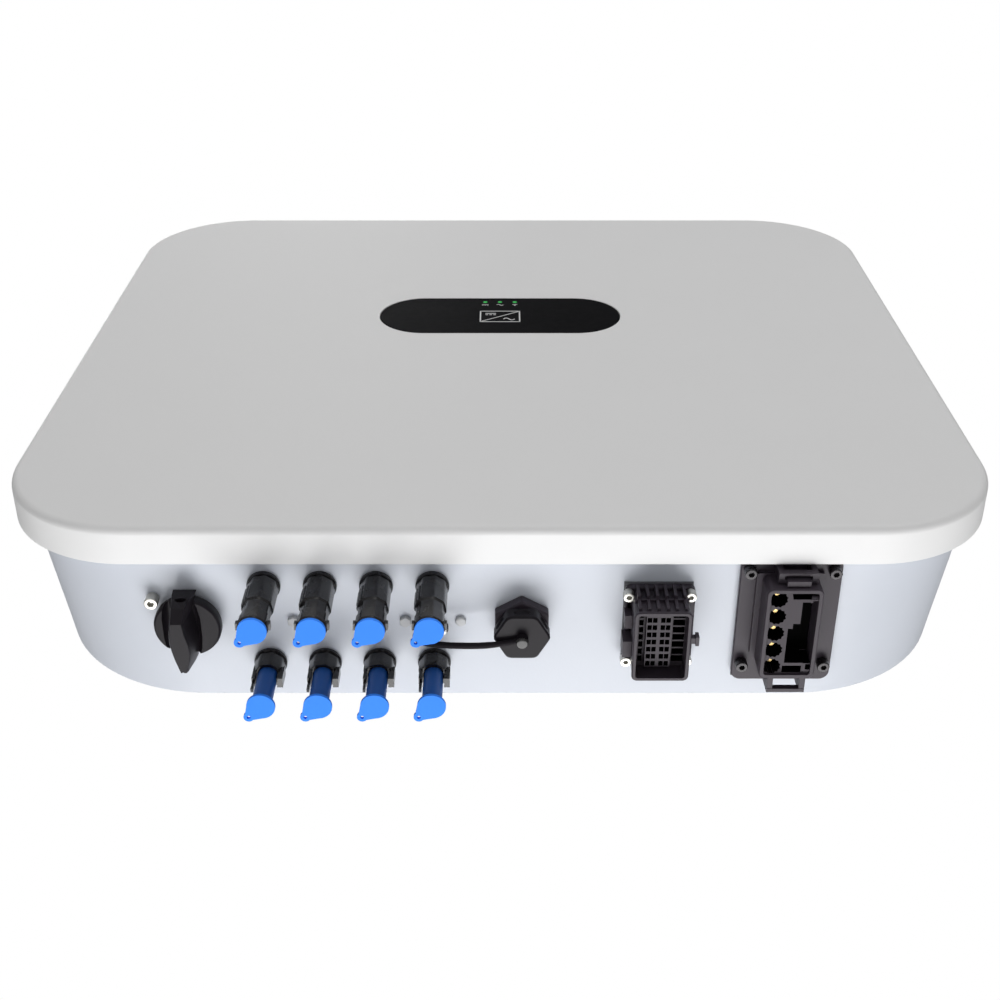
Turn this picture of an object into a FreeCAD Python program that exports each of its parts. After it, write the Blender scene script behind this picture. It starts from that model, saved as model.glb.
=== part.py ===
import FreeCAD, Part
import math
import os
import Sketcher

# Wall-mounted string inverter, in millimetres.
# Frame: origin on the wall, on the object's centre line, level with the middle of the front cover. +Z up and
# +Y into the wall, so the front cover faces -Y and every connector points down, -Z.
# Two working distances are used throughout:
#   level  = distance in front of the wall           (y = -level)
#   back   = distance behind the front cover's face  (y = back - total_depth)

Vector = FreeCAD.Vector
document = FreeCAD.newDocument("string_inverter")
sheet = document.addObject("Spreadsheet::Sheet", "dims")
nodes = {}

DIMENSIONS = [
    # the whole object
    ("total_depth", 262), ("body_drop", 224), ("fit_gap", 0.3), ("thread_gap", 0.05),
    # front cover
    ("cover_width", 525), ("cover_height", 470), ("cover_corner", 72), ("cover_depth", 21.3),
    ("cover_wall", 3.5), ("cover_face_wall", 4), ("cover_edge_round", 4.2),
    # status window and its lights
    ("window_width", 160), ("window_height", 60), ("window_rise", 40.5), ("window_recess", 2),
    ("window_gap", 0.2), ("led_pitch", 10), ("led_rise", 63.6), ("led_radius", 1.5), ("led_board_level", 252),
    # housing
    ("flange_width", 517), ("flange_height", 462), ("flange_corner", 68), ("flange_front", 256),
    ("flange_rear", 240.3), ("shoulder_width", 522), ("shoulder_corner", 82), ("rear_width", 505),
    ("rear_corner", 95), ("rear_level", 151), ("cavity_width", 504), ("cavity_height", 436),
    ("cavity_corner", 74), ("cavity_rear_width", 484), ("cavity_rear_corner", 88), ("floor_level", 160),
    # cover gasket and screws
    ("gasket_outer_width", 515), ("gasket_outer_height", 460), ("gasket_outer_corner", 67),
    ("gasket_inner_width", 506), ("gasket_inner_height", 451), ("gasket_inner_corner", 62.5),
    ("cover_screw_level", 248), ("cover_screw_radius", 2), ("cover_screw_head", 4),
    ("cover_screw_head_depth", 2.3), ("cover_screw_length", 12),
    ("side_screw_pitch", 130), ("top_screw_pitch", 150),
    # heat sink
    ("sink_width", 396), ("sink_base", 6), ("sink_rise", 200), ("sink_root_drop", 185), ("sink_rear_level", 32),
    ("sink_tip_rise", 186), ("sink_tip_drop", 46), ("fin_thickness", 2.6), ("fin_count", 31),
    # wall bracket and hanging plate
    ("bracket_width", 340), ("bracket_low", -12), ("bracket_height", 172), ("bracket_sheet", 3),
    ("bolt_rise", 75), ("bolt_span_x", 280), ("bolt_span_z", 110), ("bolt_hole", 5), ("cheek_depth", 24),
    ("rail_rise", 130), ("rail_lip", 12), ("hook_width", 60), ("hook_offset", 110), ("hook_level", 8),
    ("hanger_width", 330), ("hanger_low", 24), ("hanger_high", 170), ("lock_screw_radius", 3),
    ("lock_offset", 145), ("lock_gap", 3),
    # photovoltaic connectors: four columns, two rows
    ("pv_first", -122.7), ("pv_pitch", 29.2), ("pv_front_back", 40.4), ("pv_rear_back", 89.2),
    ("pv_ring", 8.8), ("pv_ring_height", 3), ("pv_barrel", 8), ("pv_waist", 6.8), ("pv_stub", 6.4),
    ("pv_bore", 5.6), ("pv_long_length", 40.6), ("pv_short_length", 20), ("pv_nut", 10.5), ("pv_seal", 8.6),
    ("plug_stem", 5.3), ("plug_disc", 7.4), ("plug_disc_thick", 1.7), ("plug_long_drop", 42.7),
    ("plug_short_drop", 40), ("ear_offset", 6.7), ("ear_radius", 2.7), ("ear_hole", 1),
    # disconnect switch
    ("switch_x", -163), ("switch_back", 61.3), ("knob_radius", 17.6), ("knob_disc_top", 3),
    ("knob_disc_face", 10), ("knob_handle_face", 23), ("shaft_radius", 4), ("collar_radius", 13),
    # earth screw and small screws of the underside
    ("earth_x", -181.3), ("earth_back", 48.5), ("earth_head", 3.6), ("earth_head_height", 6.5),
    ("stud_back", 63), ("stud_head", 3.4), ("stud_head_height", 2.4), ("vent_x", -224), ("vent_z", -60),
    ("vent_radius", 6),
    # dongle socket
    ("dongle_x", 11.4), ("dongle_back", 62.9), ("dongle_hex", 16.2), ("dongle_hex_height", 7),
    ("dongle_barrel", 10), ("dongle_barrel_end", 13.8), ("dongle_bore", 7.5), ("dongle_cap_hex", 15.2),
    ("dongle_cap_top", 7.4), ("dongle_cap_face", 16.6), ("dongle_cap_floor", 14.4), ("hub_radius", 3.4),
    ("hub_face", 22), ("strap_thick", 3.4),
    # communication port
    ("com_x", 82.5), ("com_back", 63), ("com_flange_x", 37), ("com_flange_y", 50), ("com_flange_thick", 5),
    ("com_rim_x", 30), ("com_rim_y", 42), ("com_rim_drop", 26), ("com_wall", 2), ("com_screw_x", 32),
    ("com_screw_y", 41), ("com_screw_head", 2.9), ("com_contact_drop", 20),
    # grid (alternating current) port
    ("grid_x", 150), ("grid_front", 22.6), ("grid_rear", 98.6), ("grid_flange_x", 52.5),
    ("grid_flange_thick", 4), ("grid_screw_x", 43.3), ("grid_screw_front", 28.5), ("grid_screw_rear", 87.1),
    ("grid_shroud_back", 57), ("grid_shroud_x", 32), ("grid_shroud_y", 57), ("grid_shroud_drop", 21),
    ("grid_wall", 2.4), ("grid_contact_drop", 15), ("grid_contact_pitch", 10.3),
    ("grid_screw_head", 3.6), ("catch_x", 151), ("catch_width", 20),
    ("catch_drop", 16), ("catch_thick", 3.5), ("catch_front", 26.4), ("catch_rear", 92.8),
    # inside
    ("power_board_level", 185), ("control_board_level", 215), ("board_thick", 2),
]


def fill_sheet():
    for row, (alias, number) in enumerate(DIMENSIONS, start=1):
        sheet.set("A%d" % row, alias)
        sheet.set("B%d" % row, str(number))
        sheet.setAlias("B%d" % row, alias)
    document.recompute()


def value(expression):
    """The number that a sheet expression comes to."""
    return float(sheet.evalExpression(str(expression)))


def front(level):
    """Y expression of a distance in front of the wall."""
    return "-(%s)" % level


def behind(back):
    """Y expression of a distance behind the front cover's face."""
    return "(%s) - dims.total_depth" % back


def under(drop):
    """Z expression of a distance below the housing's underside."""
    return "-dims.body_drop - (%s)" % drop


def place(piece, x="0", y="0", z="0"):
    for axis, expression in zip("xyz", (x, y, z)):
        piece.setExpression("Placement.Base." + axis, str(expression))
    return piece


TURN = {
    "z": FreeCAD.Rotation(Vector(0, 0, 1), 0), "-z": FreeCAD.Rotation(Vector(1, 0, 0), 180),
    "y": FreeCAD.Rotation(Vector(1, 0, 0), -90), "-y": FreeCAD.Rotation(Vector(1, 0, 0), 90),
    "x": FreeCAD.Rotation(Vector(0, 1, 0), 90), "-x": FreeCAD.Rotation(Vector(0, 1, 0), -90),
}


def add(kind, name, sizes, at, axis="z"):
    """A primitive whose sizes and place are bound to expressions; axis is where its own Z points."""
    piece = document.addObject(kind, name)
    piece.Placement = FreeCAD.Placement(Vector(), TURN[axis])
    for prop, expression in sizes.items():
        piece.setExpression(prop, str(expression))
    return place(piece, *at)


def block(name, centre_x, centre_y, low_z, size_x, size_y, size_z):
    """A box centred in plan, standing on low_z."""
    at = ("%s - (%s) / 2" % (centre_x, size_x), "%s - (%s) / 2" % (centre_y, size_y), low_z)
    return add("Part::Box", name, {"Length": size_x, "Width": size_y, "Height": size_z}, at)


def rod(name, radius, length, at, axis="z"):
    return add("Part::Cylinder", name, {"Radius": radius, "Height": length}, at, axis)


def cone(name, radius, far_radius, length, at, axis="z"):
    return add("Part::Cone", name, {"Radius1": radius, "Radius2": far_radius, "Height": length}, at, axis)


def hexagon(name, radius, length, at, axis="z", turn=0):
    piece = add("Part::Prism", name, {"Circumradius": radius, "Height": length}, at, axis)
    piece.Polygon = 6
    piece.Placement = FreeCAD.Placement(Vector(), TURN[axis] * FreeCAD.Rotation(Vector(0, 0, 1), turn))
    return place(piece, *at)


def fuse(name, pieces):
    piece = document.addObject("Part::MultiFuse", name)
    piece.Shapes = pieces
    return piece


def group(name, pieces):
    piece = document.addObject("Part::Compound", name)
    piece.Links = pieces
    return piece


def cut(name, base, tool):
    piece = document.addObject("Part::Cut", name)
    piece.Base = base
    piece.Tool = tool
    return piece


def node(piece, label):
    """Keep a piece as a sub-part: its label names its file."""
    piece.Label = label
    nodes[label] = piece
    return piece


# ---------------------------------------------------------------- sketches and bodies


def new_body(name):
    return document.addObject("PartDesign::Body", name)


def new_sketch(body, name, role, offset="0"):
    """A sketch on the body's own origin plane, moved along the plane's normal."""
    sketch = body.newObject("Sketcher::SketchObject", name)
    plane = next(f for f in body.Origin.OriginFeatures if f.Role == role)
    sketch.AttachmentSupport = [(plane, "")]
    sketch.MapMode = "FlatFace"
    sketch.setExpression("AttachmentOffset.Base.z", str(offset))
    return sketch


def bind_constraint(sketch, constraint, expression):
    index = sketch.addConstraint(constraint)
    sketch.setExpression("Constraints[%d]" % index, str(expression))


def rounded_rectangle(sketch, width, height, corner, at=("0", "0")):
    """A rectangle with round corners: four sides, four arcs, all tangent, bound to expressions."""
    half_w = value(width) / 2
    half_h = value(height) / 2
    r = value(corner)
    cx, cy = value(at[0]), value(at[1])
    corners = [(half_w - r, half_h - r), (r - half_w, half_h - r),
               (r - half_w, r - half_h), (half_w - r, r - half_h)]
    arcs = []
    for quarter, (x, y) in enumerate(corners):
        circle = Part.Circle(Vector(cx + x, cy + y, 0), Vector(0, 0, 1), r)
        start = quarter * math.pi / 2
        arcs.append(sketch.addGeometry(Part.ArcOfCircle(circle, start, start + math.pi / 2)))
    sides = []
    for quarter in range(4):
        first = sketch.Geometry[arcs[quarter]].EndPoint
        second = sketch.Geometry[arcs[(quarter + 1) % 4]].StartPoint
        sides.append(sketch.addGeometry(Part.LineSegment(first, second)))
    for quarter in range(4):
        following = arcs[(quarter + 1) % 4]
        sketch.addConstraint(Sketcher.Constraint("Tangent", arcs[quarter], 2, sides[quarter], 1))
        sketch.addConstraint(Sketcher.Constraint("Tangent", sides[quarter], 2, following, 1))
    for side, kind in zip(sides, ("Horizontal", "Vertical", "Horizontal", "Vertical")):
        sketch.addConstraint(Sketcher.Constraint(kind, side))
    for arc in arcs[1:]:
        sketch.addConstraint(Sketcher.Constraint("Equal", arcs[0], arc))
    bind_constraint(sketch, Sketcher.Constraint("Radius", arcs[0], r), corner)
    reach = [(sides[3], "DistanceX", cx + half_w, "(%s) / 2 + (%s)" % (width, at[0])),
             (sides[1], "DistanceX", cx - half_w, "(%s) - (%s) / 2" % (at[0], width)),
             (sides[0], "DistanceY", cy + half_h, "(%s) / 2 + (%s)" % (height, at[1])),
             (sides[2], "DistanceY", cy - half_h, "(%s) - (%s) / 2" % (at[1], height))]
    for side, kind, distance, expression in reach:
        bind_constraint(sketch, Sketcher.Constraint(kind, -1, 1, side, 1, distance), expression)


def circle(sketch, x, y, radius):
    centre = Vector(value(x), value(y), 0)
    index = sketch.addGeometry(Part.Circle(centre, Vector(0, 0, 1), value(radius)))
    bind_constraint(sketch, Sketcher.Constraint("Radius", index, value(radius)), radius)
    bind_constraint(sketch, Sketcher.Constraint("DistanceX", -1, 1, index, 3, centre.x), x)
    bind_constraint(sketch, Sketcher.Constraint("DistanceY", -1, 1, index, 3, centre.y), y)


def pad(body, sketch, length, backward=False):
    feature = body.newObject("PartDesign::Pad", sketch.Name + "_pad")
    feature.Profile = sketch
    feature.setExpression("Length", str(length))
    feature.Reversed = backward
    document.recompute()
    return feature


def pocket(body, sketch, length, forward=False):
    """Cut against the sketch's normal, or along it when forward; the volume has to fall."""
    before = body.Shape.Volume
    feature = body.newObject("PartDesign::Pocket", sketch.Name + "_pocket")
    feature.Profile = sketch
    feature.setExpression("Length", str(length))
    feature.Reversed = forward
    document.recompute()
    if not body.Shape.Volume < before - 1:
        raise RuntimeError("%s cut nothing" % feature.Name)
    return feature


def loft(body, kind, sketches):
    feature = body.newObject("PartDesign::" + kind, sketches[0].Name + "_loft")
    feature.Profile = sketches[0]
    feature.Sections = sketches[1:]
    feature.Ruled = True
    document.recompute()
    return feature


def round_edges(body, radius, chosen):
    """Fillet the edges of the body's last feature that chosen() accepts."""
    base = body.Tip
    names = ["Edge%d" % (i + 1) for i, edge in enumerate(base.Shape.Edges) if chosen(edge)]
    feature = body.newObject("PartDesign::Fillet", base.Name + "_round")
    feature.Base = (base, names)
    feature.setExpression("Radius", str(radius))
    document.recompute()
    return feature


# ---------------------------------------------------------------- front cover


def cover_screw_places():
    """Side screws at three heights on each side, then three along the top edge; none along the bottom."""
    half_w, half_h = "dims.cover_width / 2", "dims.cover_height / 2"
    level = front("dims.cover_screw_level")
    places = []
    for step in (-1, 0, 1):
        rise = "%d * dims.side_screw_pitch" % step
        places.append((("-" + half_w, level, rise), "x"))
        places.append(((half_w, level, rise), "-x"))
        places.append((("%d * dims.top_screw_pitch" % step, level, half_h), "-z"))
    return places


def screw_shapes(prefix, slack, length):
    pieces = []
    for index, (at, axis) in enumerate(cover_screw_places()):
        name = "%s_%d" % (prefix, index)
        head = "dims.cover_screw_head + %s" % slack
        shank = "dims.cover_screw_radius + %s" % slack
        taper = cone(name + "_head", head, shank, "dims.cover_screw_head_depth", at, axis)
        body = rod(name + "_shank", shank, length, at, axis)
        pieces.append(fuse(name, [taper, body]))
    return pieces


def front_cover():
    body = new_body("cover_shell")
    rear = "dims.total_depth - dims.cover_depth"
    outline = new_sketch(body, "cover_outline", "XZ_Plane", rear)
    rounded_rectangle(outline, "dims.cover_width", "dims.cover_height", "dims.cover_corner")
    pad(body, outline, "dims.cover_depth")
    face_y = -value("dims.total_depth")
    round_edges(body, "dims.cover_edge_round",
                lambda edge: all(abs(v.Y - face_y) < 0.01 for v in edge.Vertexes))
    inside = new_sketch(body, "cover_inside", "XZ_Plane", rear)
    rounded_rectangle(inside, "dims.cover_width - 2 * dims.cover_wall", "dims.cover_height - 2 * dims.cover_wall",
                      "dims.cover_corner - dims.cover_wall")
    pocket(body, inside, "dims.cover_depth - dims.cover_face_wall", forward=True)
    recess = new_sketch(body, "window_recess", "XZ_Plane", "dims.total_depth")
    rounded_rectangle(recess, "dims.window_width", "dims.window_height", "dims.window_height / 2 - 0.01",
                      ("0", "dims.window_rise"))
    pocket(body, recess, "dims.window_recess")
    lights = new_sketch(body, "light_holes", "XZ_Plane", "dims.total_depth")
    for step in (-1, 0, 1):
        circle(lights, "%d * dims.led_pitch" % step, "dims.led_rise", "dims.led_radius + dims.fit_gap")
    pocket(body, lights, "dims.cover_face_wall + 1")
    posts = [rod("led_post", 3, "dims.total_depth - dims.cover_face_wall - dims.led_board_level + 0.5",
                 ("%d * 24" % side, front("dims.led_board_level"), "dims.led_rise - 5"), "-y")
             for side in (-1, 1)]
    whole = fuse("cover_with_posts", [body] + posts)
    holes = group("cover_screw_holes", screw_shapes("cover_hole", "dims.thread_gap", "dims.cover_screw_length"))
    node(cut("cover_drilled", whole, holes), "front_cover")


def status_window():
    body = new_body("window_plate")
    rear = "dims.total_depth - dims.window_recess"
    outline = new_sketch(body, "window_outline", "XZ_Plane", rear)
    rounded_rectangle(outline, "dims.window_width - 2 * dims.window_gap", "dims.window_height - 2 * dims.window_gap",
                      "dims.window_height / 2 - dims.window_gap - 0.01", ("0", "dims.window_rise"))
    pad(body, outline, "dims.window_recess - dims.window_gap")
    lights = new_sketch(body, "window_lights", "XZ_Plane", "dims.total_depth")
    for step in (-1, 0, 1):
        circle(lights, "%d * dims.led_pitch" % step, "dims.led_rise", "dims.led_radius + dims.thread_gap")
    pocket(body, lights, "dims.window_recess + 1")
    node(body, "status_window")


def status_lights():
    base = "dims.led_board_level"
    length = "dims.total_depth - dims.window_gap - dims.led_board_level"
    guides = [rod("light_guide", "dims.led_radius", length,
                  ("%d * dims.led_pitch" % step, front(base), "dims.led_rise"), "-y") for step in (-1, 0, 1)]
    node(group("light_guides", guides), "led_light_guides")
    board = block("led_plate", "0", front(base + " - 0.8"), "dims.led_rise - 17", 60, 1.6, 26)
    node(board, "led_board")


def cover_gasket():
    body = new_body("gasket_ring")
    outer = new_sketch(body, "gasket_outline", "XZ_Plane", "dims.flange_front")
    rounded_rectangle(outer, "dims.gasket_outer_width", "dims.gasket_outer_height", "dims.gasket_outer_corner")
    pad(body, outer, "dims.total_depth - dims.cover_face_wall - dims.flange_front")
    inner = new_sketch(body, "gasket_opening", "XZ_Plane", "dims.total_depth")
    rounded_rectangle(inner, "dims.gasket_inner_width", "dims.gasket_inner_height", "dims.gasket_inner_corner")
    pocket(body, inner, 20)
    node(body, "cover_gasket")


def cover_screws():
    node(group("cover_screw_set", screw_shapes("cover_screw", "0", "dims.cover_screw_length - 1")), "cover_screws")


# ---------------------------------------------------------------- housing


def pv_places():
    """Each photovoltaic connector: its row, number, and X and Y expressions."""
    for row, back in (("front", "dims.pv_front_back"), ("rear", "dims.pv_rear_back")):
        for column in range(4):
            yield row, column + 1, "dims.pv_first + %d * dims.pv_pitch" % column, behind(back)


def stud_places():
    return [(x, behind("dims.stud_back")) for x in ("-108.8", "-49.8", "-20.7")]


def grid_middle():
    return behind("(dims.grid_front + dims.grid_rear) / 2")


def housing():
    body = new_body("housing_shell")
    flange = new_sketch(body, "flange_outline", "XZ_Plane", "dims.flange_rear")
    rounded_rectangle(flange, "dims.flange_width", "dims.flange_height", "dims.flange_corner")
    pad(body, flange, "dims.flange_front - dims.flange_rear")
    shoulder = new_sketch(body, "shoulder_outline", "XZ_Plane", "dims.flange_rear")
    rounded_rectangle(shoulder, "dims.shoulder_width", "2 * dims.body_drop", "dims.shoulder_corner")
    back = new_sketch(body, "rear_outline", "XZ_Plane", "dims.rear_level")
    rounded_rectangle(back, "dims.rear_width", "2 * dims.body_drop", "dims.rear_corner")
    loft(body, "AdditiveLoft", [shoulder, back])
    mouth = new_sketch(body, "cavity_mouth", "XZ_Plane", "dims.flange_front + 1")
    rounded_rectangle(mouth, "dims.cavity_width", "dims.cavity_height", "dims.cavity_corner")
    bottom = new_sketch(body, "cavity_floor", "XZ_Plane", "dims.floor_level")
    rounded_rectangle(bottom, "dims.cavity_rear_width", "dims.cavity_height", "dims.cavity_rear_corner")
    loft(body, "SubtractiveLoft", [mouth, bottom])
    openings = new_sketch(body, "underside_openings", "XY_Plane", "-dims.body_drop - 1")
    for _, _, x, y in pv_places():
        circle(openings, x, y, "dims.pv_stub + dims.fit_gap")
    circle(openings, "dims.switch_x", behind("dims.switch_back"), "dims.shaft_radius + 2 * dims.fit_gap")
    circle(openings, "dims.dongle_x", behind("dims.dongle_back"), "dims.dongle_barrel")
    circle(openings, "dims.earth_x", behind("dims.earth_back"), 2.5)
    for x, y in stud_places():
        circle(openings, x, y, 2.05)
    rounded_rectangle(openings, "dims.com_rim_x - 6", "dims.com_rim_y - 6", 2,
                      ("dims.com_x", behind("dims.com_back")))
    rounded_rectangle(openings, "dims.grid_shroud_x - 8", "dims.grid_shroud_y - 8", 2,
                      ("dims.grid_x", behind("dims.grid_shroud_back")))
    for x, y, radius in port_screw_places():
        circle(openings, x, y, radius)
    circle(openings, strap_anchor()[0], strap_anchor()[1], 1.55)
    pocket(body, openings, 12, forward=True)
    holes = screw_shapes("flange_hole", "dims.thread_gap", "dims.cover_screw_length")
    holes.append(rod("vent_hole", "dims.vent_radius", 20, vent_place("dims.floor_level + 5"), "y"))
    node(cut("housing_drilled", body, group("housing_holes", holes)), "housing")


def port_screw_places():
    """Flange screws of the two ports: X, Y, and the radius of the hole that each needs."""
    places = []
    for side in (-1, 1):
        x = "dims.com_x + %d * dims.com_screw_x / 2" % side
        for end in (-1, 1):
            places.append((x, behind("dims.com_back + %d * dims.com_screw_y / 2" % end), 1.3))
        x = "dims.grid_x + %d * dims.grid_screw_x / 2" % side
        for back in ("dims.grid_screw_front", "dims.grid_screw_rear"):
            places.append((x, behind(back), 1.55))
    return places


def heat_sink():
    """A base plate with upright fins whose lower ends slope up and back."""
    body = new_body("sink_body")
    base = new_sketch(body, "sink_base_outline", "XZ_Plane", "dims.rear_level - dims.sink_base")
    rounded_rectangle(base, "dims.sink_width", "dims.sink_rise + dims.sink_root_drop", 6,
                      ("0", "(dims.sink_rise - dims.sink_root_drop) / 2"))
    pad(body, base, "dims.sink_base")
    fin = new_sketch(body, "fin_outline", "YZ_Plane", "-dims.sink_width / 2 + 1")
    root = front("dims.rear_level - dims.sink_base / 2")
    tip = front("dims.sink_rear_level")
    corners = [(root, "-dims.sink_root_drop + 4"), (tip, "-dims.sink_tip_drop"), (tip, "dims.sink_tip_rise"),
               (root, "dims.sink_rise - 4")]
    points = [Vector(value(y), value(z), 0) for y, z in corners]
    lines = [fin.addGeometry(Part.LineSegment(points[i], points[(i + 1) % 4])) for i in range(4)]
    for index, line in enumerate(lines):
        fin.addConstraint(Sketcher.Constraint("Coincident", line, 2, lines[(index + 1) % 4], 1))
    for line, (y, z) in zip(lines, corners):
        bind_constraint(fin, Sketcher.Constraint("DistanceX", -1, 1, line, 1, value(y)), y)
        bind_constraint(fin, Sketcher.Constraint("DistanceY", -1, 1, line, 1, value(z)), z)
    feature = pad(body, fin, "dims.fin_thickness")
    row = body.newObject("PartDesign::LinearPattern", "fin_row")
    row.Originals = [feature]
    axis = next(f for f in body.Origin.OriginFeatures if f.Role == "X_Axis")
    row.Direction = (axis, [""])
    row.setExpression("Length", "dims.sink_width - 2 - dims.fin_thickness")
    row.Occurrences = int(value("dims.fin_count"))
    body.Tip = row
    document.recompute()
    node(body, "heat_sink")


# ---------------------------------------------------------------- wall side


def wall_bracket():
    sheet_thick = "dims.bracket_sheet"
    width, height, low = "dims.bracket_width", "dims.bracket_height", "dims.bracket_low"
    middle = front("dims.cheek_depth / 2")
    pieces = [
        block("bracket_plate", "0", front(sheet_thick + " / 2"), low, width, sheet_thick, height),
        block("bracket_rail", "0", middle, "dims.rail_rise", width, "dims.cheek_depth", sheet_thick),
        block("bracket_lip", "0", front("dims.cheek_depth - %s / 2" % sheet_thick), "dims.rail_rise", width,
              sheet_thick, "dims.rail_lip + " + sheet_thick),
        block("bracket_foot", "0", middle, low, width, "dims.cheek_depth", sheet_thick)]
    for side in (-1, 1):
        x = "%d * (%s - %s) / 2" % (side, width, sheet_thick)
        pieces.append(block("bracket_cheek", x, middle, low, sheet_thick, "dims.cheek_depth",
                            "dims.rail_rise + %s - dims.bracket_low" % sheet_thick))
    holes = [rod("bracket_hole", "dims.bolt_hole", 8,
                 ("%d * dims.bolt_span_x / 2" % i, "-6", "dims.bolt_rise + %d * dims.bolt_span_z / 2" % j), "y")
             for i in (-1, 1) for j in (-1, 1)]
    holes += [rod("lock_hole", "dims.lock_screw_radius + 0.25", 8, lock_place(side, low + " - 2"))
              for side in (-1, 1)]
    solid = fuse("bracket_solid", pieces)
    node(cut("bracket_drilled", solid, group("bracket_holes", holes)), "wall_bracket")


def lock_place(side, z):
    return "%d * dims.lock_offset" % side, front("dims.cheek_depth / 2"), z


def hanging_plate():
    """Bolted to the fins, with two hooks over the bracket's rail and two tabs for the lock screws."""
    thick = "dims.bracket_sheet"
    level = "dims.sink_rear_level - %s / 2" % thick
    inner = "dims.sink_rear_level - %s" % thick
    pieces = [block("hanger_plate", "0", front(level), "dims.hanger_low", "dims.hanger_width", thick,
                    "dims.hanger_high - dims.hanger_low")]
    hook_top = "dims.rail_rise + %s + dims.rail_lip + dims.fit_gap" % thick
    tab_low = "dims.bracket_low + %s + dims.lock_gap" % thick
    for side in (-1, 1):
        x = "%d * dims.hook_offset" % side
        pieces.append(block("hook_arm", x, front("(%s + dims.hook_level) / 2" % inner), hook_top, "dims.hook_width",
                            "%s - dims.hook_level" % inner, thick))
        pieces.append(block("hook_tip", x, front("dims.hook_level + %s / 2" % thick), hook_top + " - 9",
                            "dims.hook_width", thick, "9 + " + thick))
        x = "%d * dims.lock_offset" % side
        pieces.append(block("lock_leg", x, front(level), tab_low, 24, thick, "dims.hanger_low - (%s)" % tab_low))
        pieces.append(block("lock_tab", x, front("(%s + dims.hook_level) / 2" % inner), tab_low, 24,
                            "%s - dims.hook_level" % inner, thick))
    holes = [rod("lock_thread", "dims.lock_screw_radius + dims.thread_gap", 14, lock_place(side, "dims.bracket_low"))
             for side in (-1, 1)]
    node(cut("hanger_drilled", fuse("hanger_solid", pieces), group("hanger_holes", holes)), "hanging_plate")
    screws = []
    for side in (-1, 1):
        at = lock_place(side, "dims.bracket_low")
        screws.append(fuse("lock_screw", [rod("lock_shank", "dims.lock_screw_radius", 12, at),
                                          rod("lock_head", 5.5, 5, at, "-z")]))
    node(group("lock_screw_set", screws), "bracket_lock_screws")


# ---------------------------------------------------------------- photovoltaic connectors


def pv_socket(row, number, x, y):
    """A panel socket: sealing ring, ribbed barrel, waist and latch collar, open at its lower end."""
    name = "pv_%s_socket_%d" % (row, number)
    pieces = [rod(name + "_ring", "dims.pv_ring", "dims.pv_ring_height", (x, y, under("0")), "-z"),
              rod(name + "_stub", "dims.pv_stub", 22, (x, y, under("1")))]
    top = under("dims.pv_ring_height - 0.5")
    if row == "front":
        pieces.append(rod(name + "_barrel", "dims.pv_barrel", 20, (x, y, top), "-z"))
        pieces.append(rod(name + "_waist", "dims.pv_waist", "dims.pv_long_length - 3", (x, y, top), "-z"))
        pieces.append(rod(name + "_collar", "dims.pv_barrel - 0.4", 9, (x, y, under("26")), "-z"))
        bore = rod(name + "_bore", "dims.pv_bore", 34, (x, y, under("42")))
    else:
        pieces.append(rod(name + "_barrel", "dims.pv_barrel", 11, (x, y, top), "-z"))
        for side in (-1, 1):
            at_x = "%s + %d * (dims.pv_barrel - 1.1)" % (x, side)
            pieces.append(block(name + "_finger", at_x, y, under("dims.pv_short_length"), 1.8, 5,
                                "dims.pv_short_length - 10"))
        bore = rod(name + "_bore", "dims.pv_bore", 14, (x, y, under("22")))
    node(cut(name + "_open", fuse(name + "_solid", pieces), bore), name)


def dust_plug(row, number, x, y):
    """A stem with an eared disc: the ear takes a finger or a string."""
    name = "dust_plug_%s_%d" % (row, number)
    face = "dims.plug_long_drop" if row == "front" else "dims.plug_short_drop"
    stem = "30" if row == "front" else "28"
    ear_x = "%s - dims.ear_offset" % x
    ear_y = "%s + dims.ear_offset" % y
    pieces = [rod(name + "_disc", "dims.plug_disc", "dims.plug_disc_thick", (x, y, under(face))),
              rod(name + "_stem", "dims.plug_stem", stem, (x, y, under(face))),
              rod(name + "_ear", "dims.ear_radius", "dims.plug_disc_thick", (ear_x, ear_y, under(face)))]
    web = block(name + "_web", "%s - dims.ear_offset * 0.72" % x, "%s + dims.ear_offset * 0.72" % y, under(face),
                4.4, 4.4, "dims.plug_disc_thick")
    hole = rod(name + "_hole", "dims.ear_hole", 6, (ear_x, ear_y, under(face + " + 2")))
    node(cut(name + "_solid", fuse(name + "_blank", pieces + [web]), hole), name)


def pv_connectors():
    nuts, seals = [], []
    for row, number, x, y in pv_places():
        pv_socket(row, number, x, y)
        dust_plug(row, number, x, y)
        inner = "-dims.body_drop + 7.2"
        blank = hexagon("pv_nut_blank", "dims.pv_nut", 5, (x, y, inner))
        bore = "dims.pv_stub + dims.thread_gap"
        nuts.append(cut("pv_nut", blank, rod("pv_nut_bore", bore, 9, (x, y, inner + " - 2"))))
        seal = rod("pv_seal_blank", "dims.pv_seal", 0.9, (x, y, inner + " - 1"))
        seals.append(cut("pv_seal", seal, rod("pv_seal_bore", bore, 9, (x, y, inner + " - 4"))))
    node(group("pv_nuts", nuts), "pv_locknuts")
    node(group("pv_seal_rings", seals), "pv_seals")


# ---------------------------------------------------------------- disconnect switch


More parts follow.
